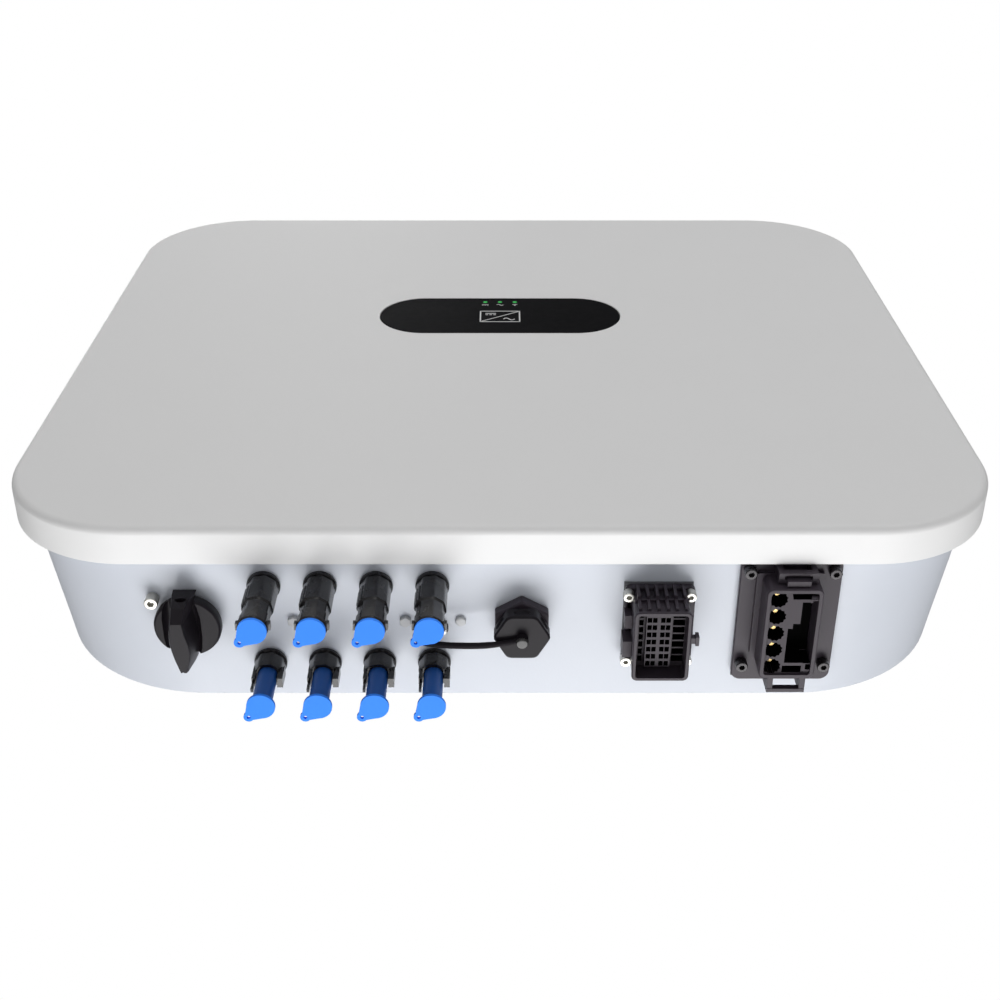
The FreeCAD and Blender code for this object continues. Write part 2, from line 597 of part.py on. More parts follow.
def knob_handle():
    """The grip, seen from below: a broad front end, a bulge on the left, and a narrow tail."""
    body = new_body("handle_body")
    outline = new_sketch(body, "handle_outline", "XY_Plane", under("dims.knob_handle_face"))
    x, y = "dims.switch_x", behind("dims.switch_back")
    offsets = [(-4.8, -20.5), (6.2, -20.5), (4.2, -11), (4.6, 2),
               (-0.7, 23.5), (-5, 23.5), (-6.6, 0), (-6.2, -11)]
    corners = [("%s + (%s)" % (x, dx), "%s + (%s)" % (y, dy)) for dx, dy in offsets]
    points = [Vector(value(a), value(b), 0) for a, b in corners]
    count = len(points)
    lines = [outline.addGeometry(Part.LineSegment(points[i], points[(i + 1) % count])) for i in range(count)]
    for index, line in enumerate(lines):
        outline.addConstraint(Sketcher.Constraint("Coincident", line, 2, lines[(index + 1) % count], 1))
    for line, (a, b) in zip(lines, corners):
        bind_constraint(outline, Sketcher.Constraint("DistanceX", -1, 1, line, 1, value(a)), a)
        bind_constraint(outline, Sketcher.Constraint("DistanceY", -1, 1, line, 1, value(b)), b)
    pad(body, outline, "dims.knob_handle_face - dims.knob_disc_face + 2")
    return body


def disconnect_switch():
    x, y = "dims.switch_x", behind("dims.switch_back")
    disc = rod("knob_disc", "dims.knob_radius", "dims.knob_disc_face - dims.knob_disc_top",
               (x, y, under("dims.knob_disc_face")))
    knob = fuse("knob_solid", [disc, knob_handle()])
    bore = rod("knob_bore", "dims.shaft_radius", 14, (x, y, under("dims.knob_disc_top + 5")))
    node(cut("knob_bored", knob, bore), "dc_switch_knob")
    shaft = rod("shaft_rod", "dims.shaft_radius", "dims.knob_disc_top + 29",
                (x, y, under("dims.knob_disc_top + 5")))
    node(shaft, "dc_switch_shaft")
    running = "dims.shaft_radius + dims.thread_gap"
    collar = rod("collar_blank", "dims.collar_radius", "dims.knob_disc_top - 1",
                 (x, y, under("dims.knob_disc_top - 1")))
    collar_bore = rod("collar_bore", running, 9, (x, y, under("dims.knob_disc_top + 2")))
    node(cut("collar_ring", collar, collar_bore), "dc_switch_collar")
    case = block("switch_case", x, y, "-dims.body_drop + 12", 46, 50, 60)
    case_bore = rod("switch_case_bore", running, 30, (x, y, "-dims.body_drop - 2"))
    node(cut("switch_case_bored", case, case_bore), "dc_switch_body")


# ---------------------------------------------------------------- small parts of the underside


def underside_screws():
    x, y = "dims.earth_x", behind("dims.earth_back")
    head = rod("earth_head", "dims.earth_head", "dims.earth_head_height", (x, y, under("dims.earth_head_height")))
    shank = rod("earth_shank", 2.45, 9.4, (x, y, under("4")))
    socket = hexagon("earth_hex", 2, 3, (x, y, under("dims.earth_head_height")))
    node(cut("earth_screw_solid", fuse("earth_blank", [head, shank]), socket), "ground_screw")
    studs = []
    for x, y in stud_places():
        head = hexagon("stud_head", "dims.stud_head", "dims.stud_head_height", (x, y, under("0")), "-z")
        studs.append(fuse("stud", [head, rod("stud_shank", 2, 12, (x, y, under("1")))]))
    node(group("stud_set", studs), "underside_screws")


def vent_valve():
    """A breather in the back wall, beside the heat sink."""
    stem = rod("vent_stem", "dims.vent_radius - dims.thread_gap", 12, vent_place("dims.floor_level + 2"), "y")
    head = hexagon("vent_head", "dims.vent_radius + 3", 4, vent_place("dims.rear_level"), "y")
    node(fuse("vent_solid", [stem, head]), "vent_valve")


def vent_place(level):
    return "dims.vent_x", front(level), "dims.vent_z"


def strap_anchor():
    return "-30.5", behind("66.5")


# ---------------------------------------------------------------- dongle socket, cap and strap


def dongle_port():
    x, y = "dims.dongle_x", behind("dims.dongle_back")
    base = hexagon("dongle_hex_base", "dims.dongle_hex", "dims.dongle_hex_height", (x, y, under("0")), "-z", 30)
    barrel = rod("dongle_barrel", "dims.dongle_barrel - 0.1", "dims.dongle_barrel_end + 14",
                 (x, y, under("dims.dongle_barrel_end")))
    bore = rod("dongle_bore", "dims.dongle_bore", 60, (x, y, under("dims.dongle_barrel_end + 2")))
    node(cut("dongle_socket_solid", fuse("dongle_blank", [base, barrel]), bore), "dongle_socket")
    seat = rod("receptacle_base", "dims.dongle_bore - 0.1", 8, (x, y, under("2")))
    insert = fuse("receptacle_solid", [seat, block("receptacle_tongue", x, y, under("10"), 11, 3.6, 10)])
    node(insert, "dongle_receptacle")
    blank = hexagon("dongle_cap_blank", "dims.dongle_cap_hex", "dims.dongle_cap_face - dims.dongle_cap_top",
                    (x, y, under("dims.dongle_cap_face")), "z", 0)
    trim = rod("dongle_cap_trim", "dims.dongle_cap_hex - 0.5", 60, (x, y, under("50")))
    outer = document.addObject("Part::MultiCommon", "dongle_cap_outer")
    outer.Shapes = [blank, trim]
    tools = [rod("dongle_cap_bore", "dims.dongle_barrel + dims.fit_gap", "dims.dongle_cap_floor",
                 (x, y, under("dims.dongle_cap_floor"))),
             rod("dongle_cap_pin_hole", "1.5 + dims.thread_gap", 30, (x, y, under("dims.dongle_cap_face + 2")))]
    node(cut("dongle_cap_solid", outer, fuse("dongle_cap_tools", tools)), "dongle_cap")
    hub_end = (x, y, under("dims.hub_face"))
    head_height = "dims.hub_face - dims.dongle_cap_face - dims.strap_thick - 0.4"
    head = rod("hub_head", "dims.hub_radius", head_height, hub_end)
    pin = rod("hub_pin", 1.5, "dims.hub_face - dims.dongle_cap_floor + 0.8", hub_end)
    keeper = rod("hub_keeper", 2.6, 0.8, (x, y, under("dims.dongle_cap_floor - 0.3")))
    node(fuse("hub_solid", [head, pin, keeper]), "dongle_cap_hub")


def strap_route():
    """Middle line of the strap: from the hub, left along the cap's face, then up to its anchor."""
    x, y = value("dims.dongle_x"), value(behind("dims.dongle_back"))
    half = value("dims.strap_thick") / 2
    level = value(under("dims.dongle_cap_face + 0.2")) - half
    anchor_x, anchor_y = (value(e) for e in strap_anchor())
    top = value(under("0.2")) - half
    return [Vector(x, y, level), Vector(x - 14, y + 2.6, level), Vector(x - 34, y + 4, level + 0.5),
            Vector(anchor_x - 14, y + 3.6, level + 3), Vector(anchor_x - 17, anchor_y, level + 11),
            Vector(anchor_x - 9, anchor_y, top - 0.3), Vector(anchor_x, anchor_y, top)]


def rounded_path(points):
    """Straight runs joined by tangent arcs, each arc as large as its two runs allow."""
    edges, here = [], points[0]
    for before, corner, after in zip(points, points[1:], points[2:]):
        coming = (corner - before).normalize()
        going = (after - corner).normalize()
        turn = coming.getAngle(going)
        reach = 0.45 * min((corner - before).Length, (after - corner).Length)
        start, end = corner - coming * reach, corner + going * reach
        radius = reach / math.tan(turn / 2)
        middle_way = (going - coming).normalize()
        centre = corner + middle_way * (radius / math.cos(turn / 2))
        middle = centre - middle_way * radius
        edges.append(Part.LineSegment(here, start).toShape())
        edges.append(Part.Arc(start, middle, end).toShape())
        here = end
        print("strap arc radius %.1f mm" % radius)
    edges.append(Part.LineSegment(here, points[-1]).toShape())
    return Part.Wire(edges)


def cap_strap():
    """A round rubber strap with a ring at the hub and an eyelet at the anchor."""
    points = strap_route()
    path = rounded_path(points)
    radius = value("dims.strap_thick") / 2
    section = Part.Wire(Part.makeCircle(radius, points[0], points[1] - points[0]))
    tube = path.makePipeShell([section], True, False)
    round_volume = math.pi * radius ** 2 * path.Length
    print("strap length %.1f mm, volume ratio %.3f" % (path.Length, tube.Volume / round_volume))
    ring = Part.makeCylinder(3.2, 2 * radius, points[0] - Vector(0, 0, radius))
    eyelet = Part.makeCylinder(3.2, 2 * radius, points[-1] - Vector(0, 0, radius))
    solid = tube.fuse([ring, eyelet])
    solid = solid.cut(Part.makeCylinder(1.8, 20, points[0] - Vector(0, 0, 10)))
    solid = solid.cut(Part.makeCylinder(1.8, 20, points[-1] - Vector(0, 0, 10)))
    strap = document.addObject("Part::Feature", "strap_solid")
    strap.Shape = solid
    node(strap, "cap_strap")
    x, y = strap_anchor()
    head_top = "dims.strap_thick + 0.5"
    screw = fuse("strap_screw_solid", [rod("strap_screw_head", 2.8, 1.8, (x, y, under(head_top + " + 1.8"))),
                                       rod("strap_screw_shank", 1.5, 9, (x, y, under(head_top + " + 1.8")))])
    node(screw, "strap_screw")


# ---------------------------------------------------------------- communication port


def com_port():
    x, y = "dims.com_x", behind("dims.com_back")
    flange = block("com_flange", x, y, under("dims.com_flange_thick"), "dims.com_flange_x", "dims.com_flange_y",
                   "dims.com_flange_thick - 1")
    shroud = block("com_shroud", x, y, under("dims.com_rim_drop"), "dims.com_rim_x", "dims.com_rim_y",
                   "dims.com_rim_drop - 1")
    ribs = [block("com_rib", "%s + %d * 5" % (x, step), "%s - dims.com_rim_y / 2 - 1.5" % y,
                  under("dims.com_rim_drop - 3"), 1.6, 3.4, "dims.com_rim_drop - 4") for step in range(-2, 3)]
    latch = block("com_latch", "%s - dims.com_rim_x / 2 - 1.8" % x, "%s + 8" % y, under("dims.com_rim_drop - 4"),
                  4, 9, "dims.com_rim_drop - 5")
    peg = block("com_peg", "%s + dims.com_rim_x / 2 + 2.5" % x, "%s - 3.7" % y, under("dims.com_rim_drop - 4"),
                5.4, 4, 4)
    whole = fuse("com_blank", [flange, shroud, latch, peg] + ribs)
    tools = [block("com_hollow", x, y, under("dims.com_rim_drop + 1"), "dims.com_rim_x - 2 * dims.com_wall",
                   "dims.com_rim_y - 2 * dims.com_wall", "dims.com_rim_drop + 10")]
    screws = []
    for side in (-1, 1):
        for end in (-1, 1):
            at_x = "%s + %d * dims.com_screw_x / 2" % (x, side)
            at_y = behind("dims.com_back + %d * dims.com_screw_y / 2" % end)
            tools.append(rod("com_hole", 1.6, 30, (at_x, at_y, under("dims.com_flange_thick + 4"))))
            head = rod("com_screw_head", "dims.com_screw_head", 3.4,
                       (at_x, at_y, under("dims.com_flange_thick + 3.4")))
            shank = rod("com_screw_shank", 1.25, 11, (at_x, at_y, under("dims.com_flange_thick + 1")))
            hollow = hexagon("com_screw_hex", 1.4, 2, (at_x, at_y, under("dims.com_flange_thick + 3.4")))
            screws.append(cut("com_screw", fuse("com_screw_blank", [head, shank]), hollow))
            tools.append(rod("com_head_room", "dims.com_screw_head + 0.3", 20,
                             (at_x, at_y, under("dims.com_flange_thick + 20"))))
    node(cut("com_housing_solid", whole, fuse("com_tools", tools)), "com_housing")
    node(group("com_screw_set", screws), "com_screws")
    body = block("com_block", x, y, under("dims.com_contact_drop"), "dims.com_rim_x - 2 * dims.com_wall - 0.2",
                 "dims.com_rim_y - 2 * dims.com_wall - 0.2", "dims.com_contact_drop - 1.2")
    cells = [block("com_cell", "%s + %s" % (x, column), "%s + %d * 5" % (y, step),
                   under("dims.com_contact_drop + 1"), 3.4, 3.6, 11)
             for column in ("-3.9", "1.1") for step in range(-3, 4)]
    slot = block("com_slot", "%s + 8.8" % x, y, under("dims.com_contact_drop + 1"), 6, 33, 12)
    node(cut("com_block_solid", body, fuse("com_cells", cells + [slot])), "com_contact_block")


# ---------------------------------------------------------------- grid port


def grid_port():
    x, y = "dims.grid_x", behind("dims.grid_shroud_back")
    length = "dims.grid_rear - dims.grid_front"
    flange = block("grid_flange", x, grid_middle(), under("dims.grid_flange_thick"), "dims.grid_flange_x", length,
                   "dims.grid_flange_thick - 1")
    shroud = block("grid_shroud", x, y, under("dims.grid_shroud_drop"), "dims.grid_shroud_x", "dims.grid_shroud_y",
                   "dims.grid_shroud_drop - 1")
    catches = []
    slots = []
    for back, depth in (("dims.catch_front", 6), ("dims.catch_rear", 10.6)):
        catches.append(block("grid_catch", "dims.catch_x", behind(back), under("dims.catch_drop"),
                             "dims.catch_width", depth, "dims.catch_thick"))
        for side in (-1, 1):
            catches.append(block("grid_catch_leg", "dims.catch_x + %d * (dims.catch_width / 2 - 1.5)" % side,
                                 behind(back), under("dims.catch_drop"), 3, depth, "dims.catch_drop - 1"))
        slots.append(block("grid_catch_slot", "dims.catch_x", behind(back), under("dims.catch_drop + 1"),
                           "dims.catch_width - 6.5", 4, "dims.catch_drop - dims.grid_flange_thick - 1"))
    whole = fuse("grid_blank", [flange, shroud] + catches)
    tools = [block("grid_hollow", x, y, under("dims.grid_shroud_drop + 1"),
                   "dims.grid_shroud_x - 2 * dims.grid_wall", "dims.grid_shroud_y - 2 * dims.grid_wall",
                   "dims.grid_shroud_drop + 10")]
    tools += slots
    screws = []
    for side in (-1, 1):
        for back in ("dims.grid_screw_front", "dims.grid_screw_rear"):
            at_x, at_y = "%s + %d * dims.grid_screw_x / 2" % (x, side), behind(back)
            tools.append(rod("grid_hole", 1.8, 30, (at_x, at_y, under("dims.grid_flange_thick + 4"))))
            head = rod("grid_screw_head", "dims.grid_screw_head", 4,
                       (at_x, at_y, under("dims.grid_flange_thick + 4")))
            shank = rod("grid_screw_shank", 1.5, 11, (at_x, at_y, under("dims.grid_flange_thick + 1")))
            hollow = hexagon("grid_screw_hex", 1.6, 2, (at_x, at_y, under("dims.grid_flange_thick + 4")))
            screws.append(cut("grid_screw", fuse("grid_screw_blank", [head, shank]), hollow))
    node(cut("grid_housing_solid", whole, fuse("grid_tools", tools)), "ac_housing")
    node(group("grid_screw_set", screws), "ac_screws")
    body = block("grid_block", x, y, under("dims.grid_contact_drop"),
                 "dims.grid_shroud_x - 2 * dims.grid_wall - 0.2", "dims.grid_shroud_y - 2 * dims.grid_wall - 0.2",
                 "dims.grid_contact_drop - 1.2")
    column = [("%s - 7.2" % x, "%s + %d * dims.grid_contact_pitch" % (y, step)) for step in range(-2, 3)]
    rooms = [rod("grid_socket", 4.4, 13, (at_x, at_y, under("dims.grid_contact_drop + 1")))
             for at_x, at_y in column]
    rooms += [rod("grid_pin_hole", 1.6, 20, (at_x, at_y, under("9"))) for at_x, at_y in column]
    rooms.append(block("grid_cavity", "%s + 6.6" % x, y, under("dims.grid_contact_drop + 1"), 13, 44, 10))
    node(cut("grid_block_solid", body, fuse("grid_rooms", rooms)), "ac_contact_block")
    pins = [rod("grid_pin", 1.6, 26, (at_x, at_y, under("8"))) for at_x, at_y in column]
    node(group("grid_pins", pins), "ac_contacts")
    seals = []
    for name, at_x, at_y, size_x, size_y, hole_x, hole_y in (
            ("com", "dims.com_x", behind("dims.com_back"), "dims.com_flange_x - 1", "dims.com_flange_y - 1",
             "dims.com_rim_x", "dims.com_rim_y"),
            ("grid", x, grid_middle(), "dims.grid_flange_x - 1", length + " - 1",
             "dims.grid_shroud_x", "dims.grid_shroud_y")):
        blank = block(name + "_seal_blank", at_x, at_y, under("1"), size_x, size_y, 1)
        hole_at = at_y if name == "com" else y
        opening = block(name + "_seal_hole", at_x, hole_at, under("3"), hole_x, hole_y, 6)
        seals.append(cut(name + "_seal", blank, opening))
    screw_room = [rod("seal_screw_room", 1.8, 6, (at_x, at_y, under("3")))
                  for at_x, at_y, _ in port_screw_places()]
    node(cut("port_seals_solid", group("port_seals", seals), group("seal_rooms", screw_room)), "port_gaskets")


# ---------------------------------------------------------------- inside


def upright(name, x, z, size_x, size_z, level, depth):
    """An inner block: its middle X, its lowest Z, and how far it stands out from a level."""
    return block(name, x, front("%s + (%s) / 2" % (level, depth)), z, size_x, depth, size_z)


def inside():
    node(upright("power_plate", "0", "-95", 420, 290, "dims.power_board_level", "dims.board_thick"), "power_board")
    node(upright("control_plate", "0", "-20", 180, 120, "dims.control_board_level", 1.6), "control_board")
    stands = [rod("board_stand", 3.5, "dims.power_board_level - dims.floor_level",
                  (x, front("dims.floor_level"), z), "-y") for x in (-195, 0, 195) for z in (-80, 180)]
    stands += [rod("control_stand", 3, "dims.control_board_level - dims.power_board_level - dims.board_thick",
                   (x, front("dims.power_board_level + dims.board_thick"), z), "-y")
               for x in (-80, 80) for z in (-10, 90)]
    node(group("stand_set", stands), "board_standoffs")
    modules = [upright("power_module", x, "0", 70, 60, "dims.floor_level", 18) for x in (-120, 0, 120)]
    node(group("module_set", modules), "power_modules")
    top = "dims.power_board_level + dims.board_thick"
    cans = [rod("bus_can", 14, 45, (-185 + 34 * i, front(top), z), "-y")
            for i in range(3) for z in (60, 95, 130)]
    node(group("can_set", cans), "bus_capacitors")
    node(group("choke_set", [upright("boost_choke", x, "-165", 58, 55, "dims.floor_level", 62)
                             for x in (-105, -40, 25, 90)]), "boost_inductors")
    node(group("filter_set", [upright("filter_choke", x, "115", 44, 50, top, 48) for x in (115, 165)]),
         "filter_inductors")
    relays = [upright("relay", 115 + 30 * i, z, 24, 28, top, 20) for i in range(3) for z in (10, 50)]
    node(group("relay_set", relays), "output_relays")
    node(group("arrester_set", [upright("arrester", -180 + 26 * i, "-80", 18, 22, top, 12) for i in range(6)]),
         "surge_arresters")


# ---------------------------------------------------------------- build and write


def check_and_write():
    document.recompute()
    for piece in document.Objects:
        if {"Invalid", "Error"} & set(piece.State):
            raise RuntimeError("%s failed: %s" % (piece.Name, piece.State))
    os.makedirs("parts", exist_ok=True)
    for label, piece in nodes.items():
        if piece.Shape.isNull() or not piece.Shape.isValid() or not piece.Shape.Solids:
            raise RuntimeError("%s has no valid shape" % label)
        piece.Shape.exportStep("parts/%s.step" % label)
    print("%d nodes written" % len(nodes))


fill_sheet()
front_cover()
status_window()
status_lights()
cover_gasket()
cover_screws()
housing()
heat_sink()
wall_bracket()
hanging_plate()
pv_connectors()
disconnect_switch()
underside_screws()
vent_valve()
dongle_port()
cap_strap()
com_port()
grid_port()
inside()
check_and_write()
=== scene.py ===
"""Looks of a wall-mounted string inverter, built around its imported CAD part.

All shapes are written in millimetres and placed in the part's own frame: the wall is y = 0, the front cover
faces -Y and the connectors point down, -Z. Two working distances are used, as in the CAD source:
    back  = distance behind the front cover's face
    drop  = distance below the housing's underside
"""

import math
from types import SimpleNamespace

import bmesh
import bpy
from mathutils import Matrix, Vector

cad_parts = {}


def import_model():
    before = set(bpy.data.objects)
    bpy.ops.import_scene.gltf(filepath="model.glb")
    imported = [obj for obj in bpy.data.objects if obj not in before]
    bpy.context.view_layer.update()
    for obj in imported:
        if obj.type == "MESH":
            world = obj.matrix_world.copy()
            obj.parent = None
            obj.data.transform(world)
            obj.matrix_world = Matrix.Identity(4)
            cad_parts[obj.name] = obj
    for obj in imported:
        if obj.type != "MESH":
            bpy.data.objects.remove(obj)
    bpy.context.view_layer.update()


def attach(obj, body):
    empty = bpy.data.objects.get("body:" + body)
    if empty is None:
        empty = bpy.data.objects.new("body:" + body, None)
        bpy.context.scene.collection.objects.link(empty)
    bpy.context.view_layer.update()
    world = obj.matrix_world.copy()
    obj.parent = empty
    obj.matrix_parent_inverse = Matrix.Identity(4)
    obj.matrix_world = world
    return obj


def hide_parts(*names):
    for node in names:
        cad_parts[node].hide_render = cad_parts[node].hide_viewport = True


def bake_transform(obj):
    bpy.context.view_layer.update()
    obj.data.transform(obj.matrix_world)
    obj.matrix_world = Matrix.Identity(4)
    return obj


bl_info = {
    "name": "String Inverter",
    "version": (1, 0, 0),
    "blender": (4, 5, 0),
    "location": "View3D > Sidebar > Inverter",
    "description": "Builds the looks of a wall-mounted string inverter around its CAD part",
    "category": "Object",
}

MM = 0.001
DEPTH = 262
UNDERSIDE = 224

# where things stand on the underside, in millimetres: x, or x and back
SWITCH_X = -163
DONGLE_X = 11.4
FIRST_COLUMN_X = -122.7
CATCH_X = 151
EARTH_SCREW = (-181.3, 48.5)
HEXAGON_HEADS = ((-108.8, 63), (-49.8, 63))
ROUND_HEAD = (-20.7, 63)
STRAP_STUD = (-30.5, 66.5)


# ---------------------------------------------------------------- outlines, in millimetres


def spot(x, back, drop):
    """A place given by its two working distances."""
    return (x, back - DEPTH, -UNDERSIDE - drop)


def below(points, drop):
    """Plan points (x, back) at a drop under the housing."""
    return [spot(x, back, drop) for x, back in points]


def facing(points, level):
    """Front view points (x, z) at a level in front of the wall."""
    return [(x, -level, z) for x, z in points]


def rounded(width, height, radius, at=(0, 0), count=8):
    """A rectangle with round corners."""
    points = []
    for quarter, (side, end) in enumerate(((1, 1), (-1, 1), (-1, -1), (1, -1))):
        middle_u = at[0] + side * (width / 2 - radius)
        middle_v = at[1] + end * (height / 2 - radius)
        for step in range(count + 1):
            turn = (quarter + step / count) * math.pi / 2
            points.append((middle_u + radius * math.cos(turn), middle_v + radius * math.sin(turn)))
    return points


def oval(wide, tall, at, count):
    """An ellipse, from its two half widths."""
    turns = [math.tau * step / count for step in range(count)]
    return [(at[0] + wide * math.cos(turn), at[1] + tall * math.sin(turn)) for turn in turns]


def circle(radius, at=(0, 0), count=48):
    return oval(radius, radius, at, count)


def blunted(corners, blunt, count=4):
    """A polygon whose corners are drawn into small curves."""
    points = []
    for index, corner in enumerate(corners):
        here = Vector(corner)
        before = Vector(corners[index - 1])
        after = Vector(corners[(index + 1) % len(corners)])
        start = here + (before - here).normalized() * blunt
        end = here + (after - here).normalized() * blunt
        for step in range(count + 1):
            t = step / count
            point = start * (1 - t) ** 2 + here * 2 * t * (1 - t) + end * t ** 2
            points.append((point.x, point.y))
    return points


def regular(sides, radius, at, turn, blunt):
    """A regular polygon; turn, in degrees, is where its first corner points."""
    corners = []
    for step in range(sides):
        angle = math.radians(turn) + 2 * math.pi * step / sides
        corners.append((at[0] + radius * math.cos(angle), at[1] + radius * math.sin(angle)))
    return blunted(corners, blunt)


def toothed(root, tip, teeth, at):
    """A round outline with square teeth."""
    points = []
    for step in range(teeth * 4):
        radius = tip if step % 4 in (1, 2) else root
        angle = 2 * math.pi * (step // 2 + (step % 2) * 0.98) / (teeth * 2)
        points.append((at[0] + radius * math.cos(angle), at[1] + radius * math.sin(angle)))
    return points


def ribbon(points, width):
    """The outline of a line of even width along points."""
    left, right = [], []
    for index, point in enumerate(points):
        before = Vector(points[max(index - 1, 0)])
        after = Vector(points[min(index + 1, len(points) - 1)])
        way = (after - before).normalized()
        side = Vector((-way.y, way.x)) * width / 2
        left.append(tuple(Vector(point) + side))
        right.append(tuple(Vector(point) - side))
    return left + right[::-1]


def wave(middle_u, middle_v, length, rise, count=16):
    """One period of a sine curve."""
    return [(middle_u + length * (step / count - 0.5), middle_v + rise * math.sin(2 * math.pi * step / count))
            for step in range(count + 1)]


# ---------------------------------------------------------------- solids


class Solid:
    """A mesh in the making, from points in millimetres."""

    def __init__(self):
        self.mesh = bmesh.new()

    def loop(self, points):
        return [self.mesh.verts.new(Vector(point) * MM) for point in points]

    def skin(self, rings, first=True, last=True, paint=0):
        """Rings of equal count joined by quads; first and last close the two ends. Returns the end loops."""
        loops = [self.loop(points) for points in rings]
        faces = []
        for near, far in zip(loops, loops[1:]):
            for index in range(len(near)):
                following = (index + 1) % len(near)
                faces.append(self.mesh.faces.new((near[index], near[following], far[following], far[index])))
        if first:
            faces.append(self.mesh.faces.new(loops[0][::-1]))
        if last:
            faces.append(self.mesh.faces.new(loops[-1]))
        for face in faces:
            face.material_index = paint
        return loops[0], loops[-1]

    def span(self, *loops):
        """A flat face between an outer loop and the loops of its holes."""
        edges = []
        for verts in loops:
            for index, vert in enumerate(verts):
                pair = (vert, verts[(index + 1) % len(verts)])
                edges.append(self.mesh.edges.get(pair) or self.mesh.edges.new(pair))
        bmesh.ops.triangle_fill(self.mesh, use_beauty=True, edges=edges)

    def painted(self, paint):
        """The same solid with one paint on every face."""
        for face in self.mesh.faces:
            face.material_index = paint
        return self

    def plate(self, outline, holes, top, bottom):
        """A plate under the housing between two drops, with holes through it."""
        upper, lower = [], []
        for points in [outline] + holes:
            high, low = self.skin([below(points, top), below(points, bottom)], first=False, last=False)
            upper.append(high)
            lower.append(low)
        self.span(*upper)
        self.span(*lower)

    def turned(self, at, profile, count=48):
        """A round shape under the housing, from (radius, drop) pairs."""
        self.skin([below(circle(radius, at, count), drop) for radius, drop in profile])

    def stacked(self, outlines):
        """A shape under the housing, from (outline, drop) pairs."""
        self.skin([below(points, drop) for points, drop in outlines])

    def tower(self, at, levels):
        """Rectangles with round corners, stacked, from (width, depth, corner radius, drop)."""
        self.stacked([(rounded(width, depth, radius, at), drop) for width, depth, radius, drop in levels])

    def hexagons(self, at, turn, levels):
        """Hexagons, stacked, from (corner radius, blunt, drop)."""
        self.stacked([(regular(6, radius, at, turn, blunt), drop) for radius, blunt, drop in levels])

    def block(self, x, back, drop):
        """A box between two x, two backs and two drops."""
        corners = [(x[0], back[0]), (x[1], back[0]), (x[1], back[1]), (x[0], back[1])]
        self.stacked([(corners, drop[0]), (corners, drop[1])])

    def pair(self, x, inner, outer, back, drop):
        """Two boxes, one on each side of x, between two distances from it."""
        for side in (-1, 1):
            self.block(sorted((x + side * outer, x + side * inner)), back, drop)

    def finished(self, name):
        """The object, with its normals facing out and smooth shading."""
        bmesh.ops.recalc_face_normals(self.mesh, faces=self.mesh.faces)
        data = bpy.data.meshes.new(name)
        self.mesh.to_mesh(data)
        self.mesh.free()
        data.shade_smooth()
        data.set_sharp_from_angle(angle=math.radians(35))
        obj = bpy.data.objects.new(name, data)
        bpy.context.scene.collection.objects.link(obj)
        return obj


def carve(obj, cutter, slots=()):
    """Cut a solid out of an object, for good; its cut faces take the cutter's paint."""
    tool = cutter.finished("cutter")
    for slot in slots:
        tool.data.materials.append(bpy.data.materials[slot])
    step = obj.modifiers.new("carve", "BOOLEAN")
    step.operation = "DIFFERENCE"
    step.solver = "EXACT"
    step.use_self = True
    step.object = tool
    graph = bpy.context.evaluated_depsgraph_get()
    carved = bpy.data.meshes.new_from_object(obj.evaluated_get(graph))
    obj.modifiers.remove(step)
    old = obj.data
    obj.data = carved
    bpy.data.meshes.remove(old)
    bpy.data.objects.remove(tool)
    if not carved.polygons:
        raise RuntimeError("%s was cut away" % obj.name)
    carved.shade_smooth()
    carved.set_sharp_from_angle(angle=math.radians(35))


def piece(name, solid, slots, body="inverter", instead=(), edge=0.3, cutter=None, sharp=30):
    """A finished piece: cut, edges rounded, painted, and riding on a body of the part."""
    obj = solid.finished(name)
    for slot in slots:
        obj.data.materials.append(bpy.data.materials[slot])
    if cutter:
        carve(obj, cutter, slots)
    if edge:
        bevel = obj.modifiers.new("edges", "BEVEL")
        bevel.width = edge * MM
        bevel.segments = 3
        bevel.limit_method = "ANGLE"
        bevel.angle_limit = math.radians(sharp)
        bevel.harden_normals = True
    weight = obj.modifiers.new("normals", "WEIGHTED_NORMAL")
    weight.keep_sharp = True
    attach(obj, body)
    if instead:
        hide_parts(*instead)
    return obj


# ---------------------------------------------------------------- shader graphs


class Value:
    """One number of a shader graph; arithmetic on it adds Math nodes."""

    def __init__(self, graph, socket):
        self.graph = graph
        self.socket = socket

    def math(self, operation, *values):
        return self.graph.node("ShaderNodeMath", {"operation": operation}, dict(enumerate(values)))

    def __add__(self, other):
        return self.math("ADD", self, other)

    def __sub__(self, other):
        return self.math("SUBTRACT", self, other)

    def __mul__(self, other):
        return self.math("MULTIPLY", self, other)

    def __rsub__(self, other):
        return self.math("SUBTRACT", other, self)

    __radd__ = __add__

    def step(self, low, high):
        """0 below low, 1 above high, smooth between."""
        settings = {"interpolation_type": "SMOOTHSTEP"}
        values = {"Value": self, "From Min": low, "From Max": high}
        return self.graph.node("ShaderNodeMapRange", settings, values)


